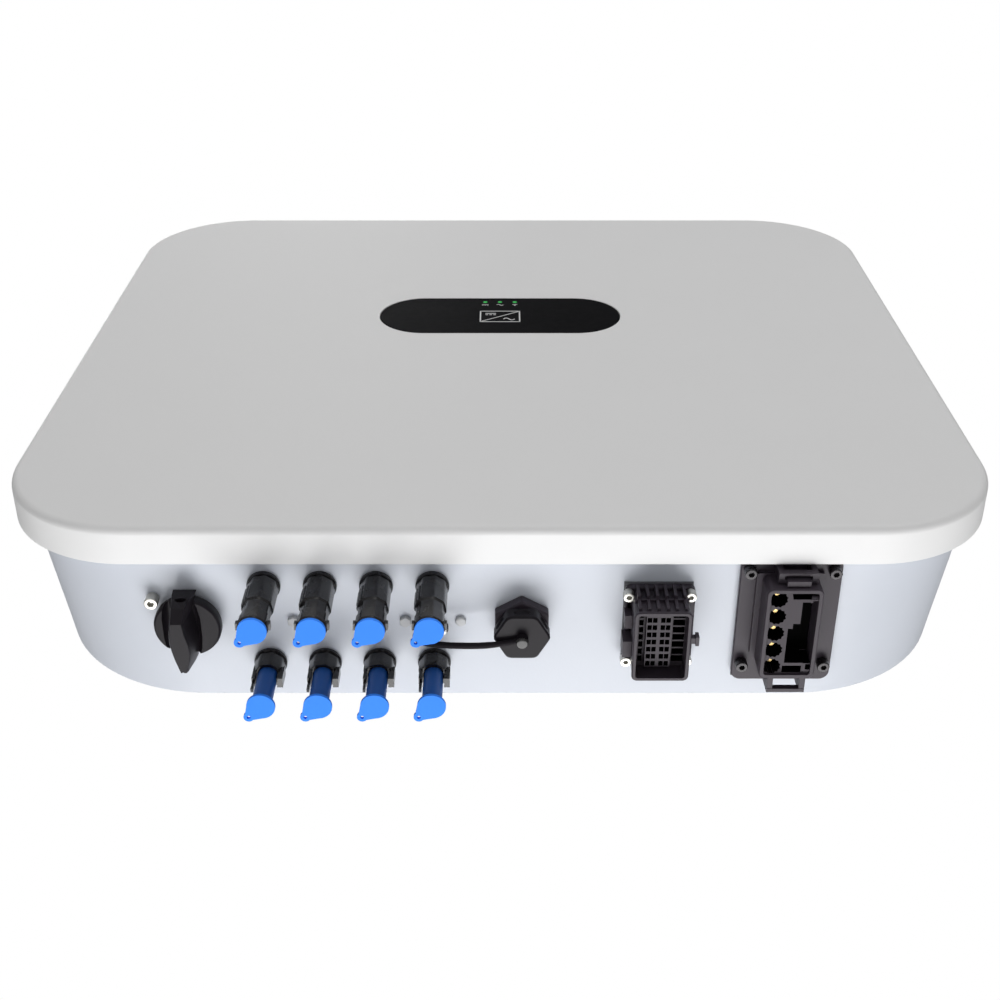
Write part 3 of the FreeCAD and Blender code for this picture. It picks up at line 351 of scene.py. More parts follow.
class Graph:
    """The node tree of a material or a world, started afresh."""

    def __init__(self, owner):
        owner.use_nodes = True
        self.tree = owner.node_tree
        self.tree.nodes.clear()

    def node(self, kind, settings=None, sockets=None, output=0):
        node = self.tree.nodes.new(kind)
        for name, setting in (settings or {}).items():
            setattr(node, name, setting)
        for key, value in (sockets or {}).items():
            if isinstance(value, Value):
                self.tree.links.new(value.socket, node.inputs[key])
            else:
                node.inputs[key].default_value = value
        return Value(self, node.outputs[output] if node.outputs else None)

    def place(self):
        return self.node("ShaderNodeTexCoord", output=3)

    def stretched(self, place, factors):
        return self.node("ShaderNodeVectorMath", {"operation": "MULTIPLY"}, {0: place, 1: factors})

    def noise(self, place, size, detail=2):
        """Soft noise between 0 and 1, whose lumps measure about size millimetres."""
        sockets = {"Vector": place, "Scale": 1 / (size * MM), "Detail": detail}
        return self.node("ShaderNodeTexNoise", None, sockets)

    def tinted(self, colour, tone):
        """A colour made lighter or darker by a factor."""
        return self.node("ShaderNodeVectorMath", {"operation": "SCALE"}, {0: colour[:3], "Scale": tone})

    def mixed(self, factor, first, second):
        """Between two colours."""
        sockets = {"Factor": factor, 6: first, 7: second}
        return self.node("ShaderNodeMix", {"data_type": "RGBA"}, sockets, output=2)

    def relief(self, height, depth):
        """Surface relief of a depth in millimetres."""
        return self.node("ShaderNodeBump", None, {"Height": height, "Distance": depth * MM})

    def surface(self, **sockets):
        names = {key: key.replace("_", " ") for key in sockets}
        shader = self.node("ShaderNodeBsdfPrincipled", None, {names[key]: sockets[key] for key in sockets})
        self.node("ShaderNodeOutputMaterial", None, {"Surface": shader})


def finish(name, colour, rough=0.4, metal=0.0, coat=0.0, grain=0.6, relief=0.01, tone=0.03, streak=(1, 1, 1),
           shine=0.5):
    """A plain material: faint clouds in its colour, grain in its gloss and its surface."""
    material = bpy.data.materials.get(name) or bpy.data.materials.new(name)
    graph = Graph(material)
    place = graph.place()
    clouds = graph.noise(place, 40)
    fine = graph.noise(graph.stretched(place, streak), grain, 3)
    graph.surface(Base_Color=graph.tinted(colour, 1 + (clouds - 0.5) * tone),
                  Roughness=rough + (fine - 0.5) * 0.12 + (clouds - 0.5) * 0.06,
                  Metallic=metal, Coat_Weight=coat, Coat_Roughness=0.08, Specular_IOR_Level=shine,
                  Normal=graph.relief(fine, relief))


def lens_finish(name, colour):
    """A lit light whose glow varies with noise, as in moulded plastic."""
    graph = Graph(bpy.data.materials[name])
    glow = graph.noise(graph.place(), 3)
    graph.surface(Base_Color=(0.01, 0.08, 0.02, 1), Roughness=0.25, Emission_Strength=0.55,
                  Emission_Color=graph.tinted(colour, 0.8 + glow * 0.4))


def board_finish(name, colour):
    """A circuit board: lighter tracks over a darker mask."""
    graph = Graph(bpy.data.materials[name])
    place = graph.place()
    cells = graph.node("ShaderNodeTexVoronoi", {"distance": "CHEBYCHEV", "feature": "DISTANCE_TO_EDGE"},
                       {"Vector": place, "Scale": 160.0})
    tracks = 1 - cells.step(0.02, 0.05)
    light = [min(1, channel * 1.8) for channel in colour[:3]] + [1]
    graph.surface(Base_Color=graph.mixed(tracks, tuple(colour), light), Roughness=0.35 + tracks * 0.1,
                  Normal=graph.relief(tracks, 0.04))


# ---------------------------------------------------------------- settings


def length(name, millimetres, about):
    return bpy.props.FloatProperty(name=name, default=millimetres * MM, min=0, unit="LENGTH", precision=5,
                                   description=about)


def tint(name, colour, about):
    return bpy.props.FloatVectorProperty(name=name, default=colour, size=3, min=0, max=1, subtype="COLOR",
                                         description=about)


def millimetres(settings):
    """The lengths of a settings group, as plain numbers in millimetres."""
    sizes = {}
    for prop in settings.bl_rna.properties:
        if prop.type == "FLOAT" and not prop.is_array and prop.unit == "LENGTH":
            sizes[prop.identifier] = getattr(settings, prop.identifier) / MM
    return SimpleNamespace(**sizes)


class InverterFinishes(bpy.types.PropertyGroup):
    """Colours of the materials."""

    white_paint: tint("White paint", (0.83, 0.83, 0.83), "Powder coat of the front cover")
    grey_paint: tint("Grey paint", (0.60, 0.63, 0.69), "Powder coat of the housing")
    window_black: tint("Window", (0.002, 0.002, 0.003), "Black gloss of the status window")
    print_white: tint("Print", (0.75, 0.75, 0.75), "Print on the status window")
    light_green: tint("Lights", (0.02, 0.55, 0.08), "Lit status lights")
    connector_black: tint("Connectors", (0.009, 0.008, 0.009), "Glossy plastic of the panel sockets")
    knob_black: tint("Knob", (0.013, 0.011, 0.014), "Satin plastic of the switch and the dongle cap")
    port_plum: tint("Ports", (0.040, 0.032, 0.042), "Plastic of the port housings")
    contact_plastic: tint("Contact carriers", (0.055, 0.047, 0.056), "Plastic that carries the contacts")
    plug_blue: tint("Dust plugs", (0.045, 0.26, 1.0), "Plastic of the dust plugs")


class InverterCover(bpy.types.PropertyGroup):
    """Sizes of the front cover."""

    width: length("Width", 525, "Across the cover")
    height: length("Height", 470, "Up the cover")
    corner: length("Corner radius", 72, "Radius of the cover's corners, seen from the front")
    rim: length("Rim depth", 21.3, "How far the cover's rim reaches back")
    wall: length("Wall", 3.5, "Thickness of the rim")
    edge: length("Edge radius", 4.2, "Round edge between face and rim")


class InverterWindow(bpy.types.PropertyGroup):
    """Sizes of the status window."""

    width: length("Width", 160, "Across the window")
    height: length("Height", 60, "Up the window")
    rise: length("Rise", 40.5, "Middle of the window above the middle of the cover")
    recess: length("Recess", 2, "Depth of the window's seat in the cover")
    light_pitch: length("Light pitch", 10, "Between the status lights")
    light_rise: length("Light rise", 63.6, "Status lights above the middle of the cover")
    light_radius: length("Light radius", 1.5, "Radius of a status light")


class InverterSwitch(bpy.types.PropertyGroup):
    """Sizes of the disconnect switch."""

    back: length("Back", 61.3, "Middle of the knob behind the cover's face")
    radius: length("Radius", 17.6, "Radius of the knob's disc")
    face: length("Face", 10, "Drop of the disc's face")


class InverterSockets(bpy.types.PropertyGroup):
    """Sizes of the panel connectors and their dust plugs."""

    pitch: length("Pitch", 29.2, "Between columns")
    front_back: length("Front row", 40.4, "Front row behind the cover's face")
    rear_back: length("Rear row", 89.2, "Rear row behind the cover's face")
    ring: length("Ring", 8.8, "Radius of the sealing ring")
    barrel: length("Barrel", 8.4, "Radius of the barrel across its corners")
    stem: length("Stem", 5.25, "Radius of a dust plug's stem")
    disc: length("Disc", 7.4, "Radius of a dust plug's disc")


class InverterDongle(bpy.types.PropertyGroup):
    """Sizes of the dongle socket and its cap."""

    back: length("Back", 62.9, "Middle of the socket behind the cover's face")
    nut: length("Nut", 16.2, "Corner radius of the base")
    cap: length("Cap", 15.2, "Corner radius of the cap")
    face: length("Face", 16.6, "Drop of the cap's face")
    strap: length("Strap", 3.4, "Thickness of the cap's strap")


class InverterPorts(bpy.types.PropertyGroup):
    """Sizes of the communication port and the grid port."""

    com_x: length("Signal port", 82.5, "Middle of the communication port, right of the centre line")
    com_width: length("Signal rim width", 29.4, "Across the rim of the communication port")
    com_depth: length("Signal rim depth", 42.7, "Rim of the communication port, front to back")
    com_drop: length("Signal rim drop", 26, "Drop of the communication port's rim")
    grid_x: length("Grid port", 150, "Middle of the grid port, right of the centre line")
    grid_width: length("Grid rim width", 28.8, "Across the rim of the grid port")
    grid_depth: length("Grid rim depth", 55.5, "Rim of the grid port, front to back")
    grid_drop: length("Grid rim drop", 21, "Drop of the grid port's rim")


class InverterStage(bpy.types.PropertyGroup):
    """Camera and lights."""

    camera_y: bpy.props.FloatProperty(name="Camera y", default=-0.62944, unit="LENGTH",
                                      description="Camera along Y")
    camera_z: bpy.props.FloatProperty(name="Camera z", default=-0.84288, unit="LENGTH",
                                      description="Camera along Z")
    tilt: bpy.props.FloatProperty(name="Tilt", default=math.radians(150.01), subtype="ANGLE",
                                  description="Camera turned about X")
    lens: bpy.props.FloatProperty(name="Lens", default=51.26, min=1, unit="CAMERA",
                                  description="Focal length")
    key: bpy.props.FloatProperty(name="Key", default=38.0, min=0, unit="POWER",
                                 description="Light from below and behind")
    fill: bpy.props.FloatProperty(name="Fill", default=24.0, min=0, unit="POWER",
                                  description="Light from the front")
    top: bpy.props.FloatProperty(name="Top", default=22.0, min=0, unit="POWER",
                                 description="Light from above")


# ---------------------------------------------------------------- operators


class PaintInverter(bpy.types.Operator):
    """Give every material of the part its procedural finish"""

    bl_idname = "inverter.paint"
    bl_label = "Materials"

    def execute(self, context):
        colours = context.scene.inverter_finishes
        finish("white_paint", colours.white_paint, rough=0.5, grain=0.9, relief=0.004, tone=0.012)
        finish("grey_paint", colours.grey_paint, rough=0.46, grain=1.6, relief=0.05, tone=0.02)
        finish("window_black", colours.window_black, rough=0.45, grain=4, relief=0.001, shine=0.03)
        finish("print_white", colours.print_white, rough=0.5)
        lens_finish("led_lens", colours.light_green)
        finish("black_gloss", colours.connector_black, rough=0.26, coat=0.2, grain=5, relief=0.05, tone=0.1,
               shine=0.35)
        finish("black_satin", colours.knob_black, rough=0.38, grain=0.5, relief=0.006, tone=0.1, shine=0.12)
        finish("plum_plastic", colours.port_plum, rough=0.42, grain=0.5, relief=0.006, tone=0.08, shine=0.25)
        finish("contact_plastic", colours.contact_plastic, rough=0.5, grain=0.5, relief=0.004, tone=0.08,
               shine=0.2)
        finish("plug_blue", colours.plug_blue, rough=0.55, grain=1, relief=0.003, tone=0.02, shine=0.1)
        # painted shade: near black with no shine for the insides of contact cells and sockets, which stand in
        # shade
        finish("cavity_black", (0.003, 0.003, 0.003), rough=0.6, shine=0)
        # painted shade: the plug stems get a darker copy of the plugs' own blue, because their sides face away
        # from the light
        stem_painted_shade_blue = [channel * 0.36 for channel in colours.plug_blue]
        finish("plug_stem", stem_painted_shade_blue, rough=0.4, grain=1, relief=0.003, shine=0.2)
        finish("rubber_black", (0.012, 0.010, 0.013), rough=0.6, grain=0.4, relief=0.01, shine=0.1)
        finish("gasket_grey", (0.12, 0.12, 0.13), rough=0.7, grain=0.4, relief=0.02)
        finish("steel", (0.55, 0.54, 0.50), rough=0.34, metal=1.0, grain=0.4, relief=0.006, tone=0.1)
        finish("black_steel", (0.03, 0.028, 0.03), rough=0.28, metal=0.6, grain=0.4, relief=0.006)
        finish("screw_grey", (0.56, 0.57, 0.58), rough=0.5, grain=0.6, relief=0.006)
        finish("sink_aluminium", (0.58, 0.59, 0.60), rough=0.42, metal=1.0, grain=0.5, streak=(1, 1, 0.03))
        finish("bracket_steel", (0.62, 0.62, 0.60), rough=0.45, metal=1.0, grain=6, relief=0.004, tone=0.18)
        board_finish("board_green", (0.02, 0.12, 0.05, 1))
        finish("capacitor_sleeve", (0.02, 0.03, 0.09), rough=0.35, coat=0.3)
        finish("potting_black", (0.02, 0.02, 0.022), rough=0.6, relief=0.03)
        finish("contact_brass", (0.72, 0.52, 0.22), rough=0.3, metal=1.0, tone=0.1)
        return {"FINISHED"}


class BuildCover(bpy.types.Operator):
    """Build the front cover: one sheet with a round edge, a rim and a seat for the window"""

    bl_idname = "inverter.cover"
    bl_label = "Front cover"

    def execute(self, context):
        size = millimetres(context.scene.inverter_cover)
        pane = millimetres(context.scene.inverter_window)
        rear = DEPTH - size.rim

        def outline(inset):
            return rounded(size.width - 2 * inset, size.height - 2 * inset, size.corner - inset, count=24)

        def seat(grow):
            return rounded(pane.width + 2 * grow, pane.height + 2 * grow, pane.height / 2 + grow - 0.01,
                           (0, pane.rise), count=24)

        sections = [(size.wall, DEPTH - 4), (size.wall, rear + 0.5), (size.wall - 0.5, rear), (0.6, rear),
                    (0, rear + 0.6)]
        for step in range(13):
            turn = step / 12 * math.pi / 2
            sections.append((size.edge * (1 - math.cos(turn)), DEPTH - size.edge * (1 - math.sin(turn))))
        shell = Solid()
        face = shell.skin([facing(outline(inset), level) for inset, level in sections], last=False)[1]
        steps = [(0.5, DEPTH), (0.2, DEPTH - 0.1), (0, DEPTH - 0.4), (0, DEPTH - pane.recess)]
        hole = shell.skin([facing(seat(grow), level) for grow, level in steps], first=False)[0]
        shell.span(face, hole)
        holes = Solid()
        for step in (-1, 0, 1):
            for side in (-1, 1):
                ring = [(DEPTH - 14 + u, v + step * 130) for u, v in circle(4.15, count=24)]
                ends = [size.width / 2 - 2.4, size.width / 2 + 1]
                holes.skin([[(side * end, -level, z) for level, z in ring] for end in ends])
            ring = circle(4.15, (step * 150, DEPTH - 14), count=24)
            ends = [size.height / 2 - 2.4, size.height / 2 + 1]
            holes.skin([[(x, -level, end) for x, level in ring] for end in ends])
        piece("cover_shell", shell, ["white_paint"], instead=["front_cover"], edge=0, cutter=holes)
        return {"FINISHED"}


class BuildWindow(bpy.types.Operator):
    """Build the status window with its printed symbols and its three lights"""

    bl_idname = "inverter.window"
    bl_label = "Status window"

    def execute(self, context):
        size = millimetres(context.scene.inverter_window)
        front = DEPTH - 0.2
        pane = Solid()
        sections = [(0.2, DEPTH - size.recess + 0.02), (0.2, front - 0.4), (0.6, front)]
        pane.skin([facing(rounded(size.width - 2 * inset, size.height - 2 * inset,
                                  size.height / 2 - inset - 0.01,
                                  (0, size.rise), count=24), level) for inset, level in sections])
        marks = self.light_marks(size) + self.centre_mark(size)
        for outline in marks:
            pane.skin([facing(outline, front - 0.05), facing(outline, front + 0.04)], paint=1)
        piece("window_pane", pane, ["window_black", "print_white"], instead=["status_window"], edge=0)
        lights = Solid()
        for step in (-1, 0, 1):
            at = (step * size.light_pitch, size.light_rise)
            profile = [(1, DEPTH - 10), (1, front), (0.7, front + 0.1)]
            lights.skin([facing(circle(size.light_radius * scale, at, 32), level) for scale, level in profile])
        piece("window_lights", lights, ["led_lens"], instead=["led_light_guides"], edge=0)
        return {"FINISHED"}

    @staticmethod
    def bar(middle_u, middle_v, width, height):
        return rounded(width, height, min(width, height) * 0.2, (middle_u, middle_v), count=2)

    def light_marks(self, size):
        """Small symbols under the lights: direct current, alternating current, radio link."""
        left, right = -size.light_pitch, size.light_pitch
        row = size.light_rise - 5
        marks = [self.bar(left, row + 0.7, 4.4, 0.5)]
        marks += [self.bar(left + offset, row - 0.7, 1.1, 0.5) for offset in (-1.65, 0, 1.65)]
        marks.append(ribbon(wave(0, row, 4.4, 0.9), 0.55))
        for radius in (1.2, 2.3):
            turns = [math.radians(45 + 9 * step) for step in range(11)]
            arc = [(right + radius * math.cos(turn), row - 1.2 + radius * math.sin(turn)) for turn in turns]
            marks.append(ribbon(arc, 0.5))
        marks.append(circle(0.45, (right, row - 1.2), 12))
        return marks

    def centre_mark(self, size):
        """The general symbol of an inverter: a frame with a diagonal, direct over alternating current."""
        middle = size.rise - 2
        wide, tall, line = 26, 18, 0.9
        marks = [self.bar(0, middle + side * tall / 2, wide + line, line) for side in (-1, 1)]
        marks += [self.bar(side * wide / 2, middle, line, tall + line) for side in (-1, 1)]
        diagonal = [(-wide / 2 + 0.8, middle - tall / 2 + 0.8), (wide / 2 - 0.8, middle + tall / 2 - 0.8)]
        marks.append(ribbon(diagonal, line * 0.8))
        marks.append(self.bar(-6.2, middle + 5.2, 7, line))
        marks += [self.bar(-6.2 + offset, middle + 2.8, 1.8, line) for offset in (-2.6, 0, 2.6)]
        marks.append(ribbon(wave(6, middle - 4.4, 7.4, 1.6), line))
        return marks


class BuildSwitch(bpy.types.Operator):
    """Build the knob of the disconnect switch"""

    bl_idname = "inverter.switch"
    bl_label = "Disconnect switch"

    # along the grip: offset to the back, left side, right side, drop of its crest
    GRIP = [(-20.4, -5.2, 3.4, 13.5), (-18.2, -5.4, 2.6, 19), (-11.4, -6.0, 1.1, 23), (-10.6, -6.1, 1.1, 23),
            (-4.5, -7.1, 1.7, 22.7), (1.5, -7.5, 3.0, 22.4), (7.5, -6.9, 3.4, 22), (13, -6.0, 2.4, 21.6),
            (20.6, -4.2, 0.2, 21)]

    def execute(self, context):
        size = millimetres(context.scene.inverter_switch)
        x, back = SWITCH_X, size.back
        disc = Solid()
        disc.turned((x, back), [(size.radius - 1.6, 3), (size.radius - 0.5, 3.8), (size.radius, 5),
                                (size.radius, size.face - 1.6), (size.radius - 0.35, size.face - 0.6),
                                (size.radius - 1.2, size.face)], 96)
        scoops = Solid()
        for middle in (3.4, -8.6):
            ring = oval(4.4, 5.6, (0, size.face + 2.2), 40)
            ends = [(-17.5, 0.3), (-13, 0.72), (-6, 1), (6, 1), (13, 0.8), (18.5, 0.34)]
            scoops.skin([[spot(x + middle + u * scale, back + offset, drop) for u, drop in ring]
                         for offset, scale in ends])
        piece("knob_disc", disc, ["black_satin"], "switch_knob", edge=0.35, cutter=scoops)
        grip = Solid()
        rings = []
        for offset, left, right, crest in self.GRIP:
            section = [(left - 1.0, size.face - 6), (left - 0.7, size.face - 1), (left, crest - 2),
                       (left + 0.9, crest), (right - 0.6, crest), (right + 0.2, crest - 1.6),
                       (right + 2.2, size.face - 1), (right + 2.6, size.face - 6)]
            rings.append([spot(x + u, back + offset, drop) for u, drop in section])
        grip.skin(rings)
        eye = Solid()
        slot = oval(2.9, 1.5, (x - 0.6, 13.4), 32)
        eye.skin([[spot(u, back + offset, drop) for u, drop in slot] for offset in (-24, -17.6)])
        eye.turned((x - 2.1, back + 20.9), [(0.7, 12), (0.7, 26)], 20)
        piece("knob_grip", grip, ["black_satin"], "switch_knob", instead=["dc_switch_knob"], edge=0.3,
              cutter=eye,
              sharp=24)
        return {"FINISHED"}


def columns(size):
    """The four connector columns."""
    return [FIRST_COLUMN_X + size.pitch * index for index in range(4)]


class BuildSockets(bpy.types.Operator):
    """Build the eight panel sockets"""

    bl_idname = "inverter.sockets"
    bl_label = "Panel sockets"

    def execute(self, context):
        size = millimetres(context.scene.inverter_sockets)
        for index, x in enumerate(columns(size), start=1):
            self.long_socket("socket_front_%d" % index, (x, size.front_back), size,
                             "pv_front_socket_%d" % index)
            self.short_socket("socket_rear_%d" % index, (x, size.rear_back), size,
                              "pv_rear_socket_%d" % index)
        return {"FINISHED"}

    def body(self, at, size, levels, bore_top, girth, groove):
        """The sealing ring with the faceted barrel, and the cutter for its bore and the grooves around it."""
        x, back = at
        whole, cutter = Solid(), Solid()
        whole.turned(at, [(size.ring - 0.5, 0.1), (size.ring, 0.7), (size.ring, 2.2), (size.ring - 0.6, 3)])
        whole.stacked([(regular(8, radius, at, 12, radius * 0.14), drop) for radius, drop in levels])
        cutter.turned(at, [(size.stem + 0.35, bore_top), (size.stem + 0.35, 50)], 40)
        for angle in (-112, -22, 68, 158):
            turn = math.radians(angle)
            middle = (x + girth * math.cos(turn), back + girth * math.sin(turn))
            cutter.turned(middle, [(0.65, drop) for drop in groove], 10)
        return whole, cutter

    def long_socket(self, name, at, size, node):
        x, back = at
        barrel = size.barrel
        levels = [(barrel - 0.8, 2.6), (barrel, 3.6), (barrel, 22.8), (barrel - 0.7, 23.8), (7.5, 24.4),
                  (7.5, 30.8), (7.9, 31.4), (8.1, 32), (8.1, 39.4), (7.5, 40.4)]
        whole, cutter = self.body(at, size, levels, 6, barrel + 0.1, (4.6, 23.4))
        whole.pair(x, 6.4, 8.7, (back - 2.4, back + 1.6), (36, 39))
        for step in range(-2, 3):
            turn = math.radians(205 + step * 15)
            at_rib = (x + (barrel - 0.7) * math.cos(turn), back + (barrel - 0.7) * math.sin(turn))
            whole.turned(at_rib, [(0.55, 9), (0.95, 10.5), (0.95, 21), (0.6, 22.6)], 10)
        piece(name, whole, ["black_gloss"], instead=[node], edge=0.25, cutter=cutter, sharp=28)

    def short_socket(self, name, at, size, node):
        x, back = at
        barrel = size.barrel
        levels = [(barrel - 0.6, 2.6), (barrel + 0.1, 3.6), (barrel + 0.1, 10.6), (barrel - 0.7, 13.4)]
        whole, cutter = self.body(at, size, levels, 5, barrel + 0.2, (4.4, 14))
        for side, end, width, thick in ((1, 20.5, 5.6, 3.0), (-1, 20.0, 5.6, 1.8), (-1, 27.0, 2.2, 1.4)):
            edges = sorted((x + side * (size.stem + 0.5), x + side * (size.stem + 0.5 + thick)))
            whole.block(edges, (back - width / 2 - 0.5, back + width / 2 - 0.5), (9, end))
        piece(name, whole, ["black_gloss"], instead=[node], edge=0.25, cutter=cutter, sharp=28)


class BuildPlugs(bpy.types.Operator):
    """Build the eight blue dust plugs"""

    bl_idname = "inverter.plugs"
    bl_label = "Dust plugs"

    def execute(self, context):
        size = millimetres(context.scene.inverter_sockets)
        rows = (("front", size.front_back, 42.7, 29.5), ("rear", size.rear_back, 40, 28))
        for row, back, face, stem in rows:
            for index, x in enumerate(columns(size), start=1):
                self.plug("plug_%s_%d" % (row, index), (x, back), face, stem, size,
                          "dust_plug_%s_%d" % (row, index))
        return {"FINISHED"}

    def plug(self, name, at, face, stem, size, node):
        x, back = at
        thick = 1.7
        outline = self.eared(at, size.disc)
        hole = circle(1, (x - 6.7, back + 6.7), 20)
        whole = Solid()
        whole.plate(outline, [hole], face - thick, face)
        radius = size.stem
        loops = [(radius - 0.8, face - stem), (radius, face - stem + 0.8), (radius, face - thick - 0.6),
                 (radius + 0.5, face - thick)]
        # the stem faces take the second slot, the darker blue of painted shade
        whole.skin([below(circle(r, at, 40), drop) for r, drop in loops], paint=1)
        piece(name, whole, ["plug_blue", "plug_stem"], body=node, instead=[node], edge=0.22, sharp=40)

    @staticmethod
    def eared(at, radius):
        """A disc drawn out into a small round ear."""
        x, back = at
        ear = 2.7
        points = []
        for step in range(61):
            turn = math.radians(135 + 48 + (360 - 96) * step / 60)
            points.append((x + radius * math.cos(turn), back + radius * math.sin(turn)))
        for step in range(25):
            turn = math.radians(135 - 96 + 192 * step / 24)
            points.append((x - 6.7 + ear * math.cos(turn), back + 6.7 + ear * math.sin(turn)))
        return points


class BuildDongle(bpy.types.Operator):
    """Build the dongle socket, its cap, the cap's hub and the strap that holds it"""

    bl_idname = "inverter.dongle"
    bl_label = "Dongle socket"

    def execute(self, context):
        size = millimetres(context.scene.inverter_dongle)
        at = (DONGLE_X, size.back)
        base = Solid()
        nut = size.nut
        base.hexagons(at, 30, [(nut - 0.4, 0.8, 0.1), (nut, 0.9, 0.8), (nut, 0.9, 6.2), (nut - 0.8, 2.2, 7)])
        base.turned(at, [(9.9, 1), (9.9, 13.2), (9.4, 13.8)], 64)
        bore = Solid()
        bore.turned(at, [(7.5, 2), (7.5, 30)], 64)
        piece("dongle_base", base, ["plum_plastic"], instead=["dongle_socket"], edge=0.25, cutter=bore)
        self.cap(at, size)
        hub = Solid()
        head = size.face + size.strap
        hub.turned(at, [(1.5, 14), (1.5, head + 0.2), (2.9, head + 0.4), (3.3, head + 0.8), (2.7, head + 1.1),
                        (2.9, head + 1.4), (2.7, head + 1.8), (1.6, head + 2.0)], 40)
        hub.turned(at, [(2.6, 13.3), (2.6, 14.1)], 24)
        piece("cap_hub", hub, ["black_gloss"], "dongle_hub", instead=["dongle_cap_hub"], edge=0)
        self.strap(at, size)
        return {"FINISHED"}

    def cap(self, at, size):
        corner, face = size.cap, size.face
        whole = Solid()
        whole.hexagons(at, 0, [(corner - 1.0, 2.6, 7.5), (corner - 0.2, 2.4, 8.2), (corner, 2.4, 9),
                               (corner, 2.4, face - 1.0), (corner - 0.9, 2.8, face)])
        tools = Solid()
        tools.turned(at, [(10.3, 4), (10.3, 14.4)], 64)
        tools.turned(at, [(1.6, 13), (1.6, face + 4)], 24)
        flat = corner * math.cos(math.pi / 6)
        for step in range(6):
            turn = math.radians(30 + 60 * step)
            away = Vector((math.cos(turn), math.sin(turn)))
            along = Vector((-away.y, away.x))
            rings = []
            for out, scale in ((flat + 1.5, 1.25), (flat, 1.0), (flat - 0.9, 0.72)):
                ring = []
                for sideways, drop in oval(4.4 * scale, 2.7 * scale, (0, 12.1), 32):
                    plan = Vector(at) + away * out + along * sideways
                    ring.append(spot(plan.x, plan.y, drop))
                rings.append(ring)
            tools.skin(rings)
        piece("cap_body", whole, ["black_satin"], "dongle_cap", instead=["dongle_cap"], edge=0.3,
              cutter=tools)

    def strap(self, at, size):
        """A round strap that leaves the hub, lies across the cap and curls up to its anchor."""
        x, back = at
        half = size.strap / 2
        level = size.face + 0.2 + half
        route = [(x - 2.6, back + 0.4, level), (x - 12, back + 2.2, level), (x - 22, back + 3.2, level),
                 (x - 34, back + 3.6, level - 0.6), (x - 44, back + 3.6, level - 1.6),
                 (x - 51, back + 3.6, level - 3.4), (x - 55, back + 3.4, level - 7),
                 (x - 55, back + 3.2, level - 11), (x - 52, back + 3.6, 3.2),
                 (x - 47.5, back + 3.6, 2.1), (x - 41.9, back + 3.6, 1.9)]
        points = [Vector(spot(*place)) for place in smooth_route(route)]
        band = Solid()
        rings = []
        for index, point in enumerate(points):
            before = points[max(index - 1, 0)]
            after = points[min(index + 1, len(points) - 1)]
            way = (after - before).normalized()
            side = way.cross(Vector((0, 1, 0))).normalized()
            other = way.cross(side)
            share = min(1, index / 10)
            radius = half * (0.72 + 0.28 * share)
            rings.append([point + side * u + other * v for u, v in circle(radius, count=20)])
        band.skin(rings)
        for middle, drop in ((at, level), (STRAP_STUD, 1.9)):
            outer, inner = circle(3.3, middle, 32), circle(1.75, middle, 32)
            band.plate(outer, [inner], drop - half * 0.8, drop + half * 0.8)
        obj = band.finished("cap_strap_band")
        obj.data.materials.append(bpy.data.materials["rubber_black"])
        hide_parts("cap_strap")
        start = Vector(spot(x - 44, back + 3.6, 2)) * MM
        end = Vector(spot(x - 20, back, level)) * MM
        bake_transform(obj)


def smooth_route(route, count=6):
    """A smooth curve through route points."""
    points = [Vector(point) for point in route]
    padded = [points[0] * 2 - points[1]] + points + [points[-1] * 2 - points[-2]]
    curve = []
    for p, q, r, s in zip(padded, padded[1:], padded[2:], padded[3:]):
        for step in range(count):
            t = step / count
            curve.append(0.5 * ((2 * q) + (r - p) * t + (2 * p - 5 * q + 4 * r - s) * t ** 2
                                + (3 * q - p - 3 * r + s) * t ** 3))
    return curve + [points[-1]]


def socket_screw(solid, tools, at, radius, top, bottom, key):
    """A cap screw standing on a drop, with a hexagonal hole in its end."""
    solid.turned(at, [(radius - 0.1, top), (radius, top + 0.3), (radius, bottom - 0.7),
                      (radius - 0.25, bottom - 0.2), (radius - 0.7, bottom)], 32)
    solid.turned(at, [(1.3, top - 6), (1.3, top + 0.1)], 20)
    tools.hexagons(at, 0, [(key, 0.05, bottom - 2), (key, 0.05, bottom + 1)])


def port_screws(name, slot, node, columns_x, backs, sizes):
    """The cap screws of a port's flange."""
    screws, keys = Solid(), Solid()
    for x in columns_x:
        for back in backs:
            socket_screw(screws, keys, (x, back), *sizes)
    piece(name, screws, [slot], instead=[node], edge=0, cutter=keys)


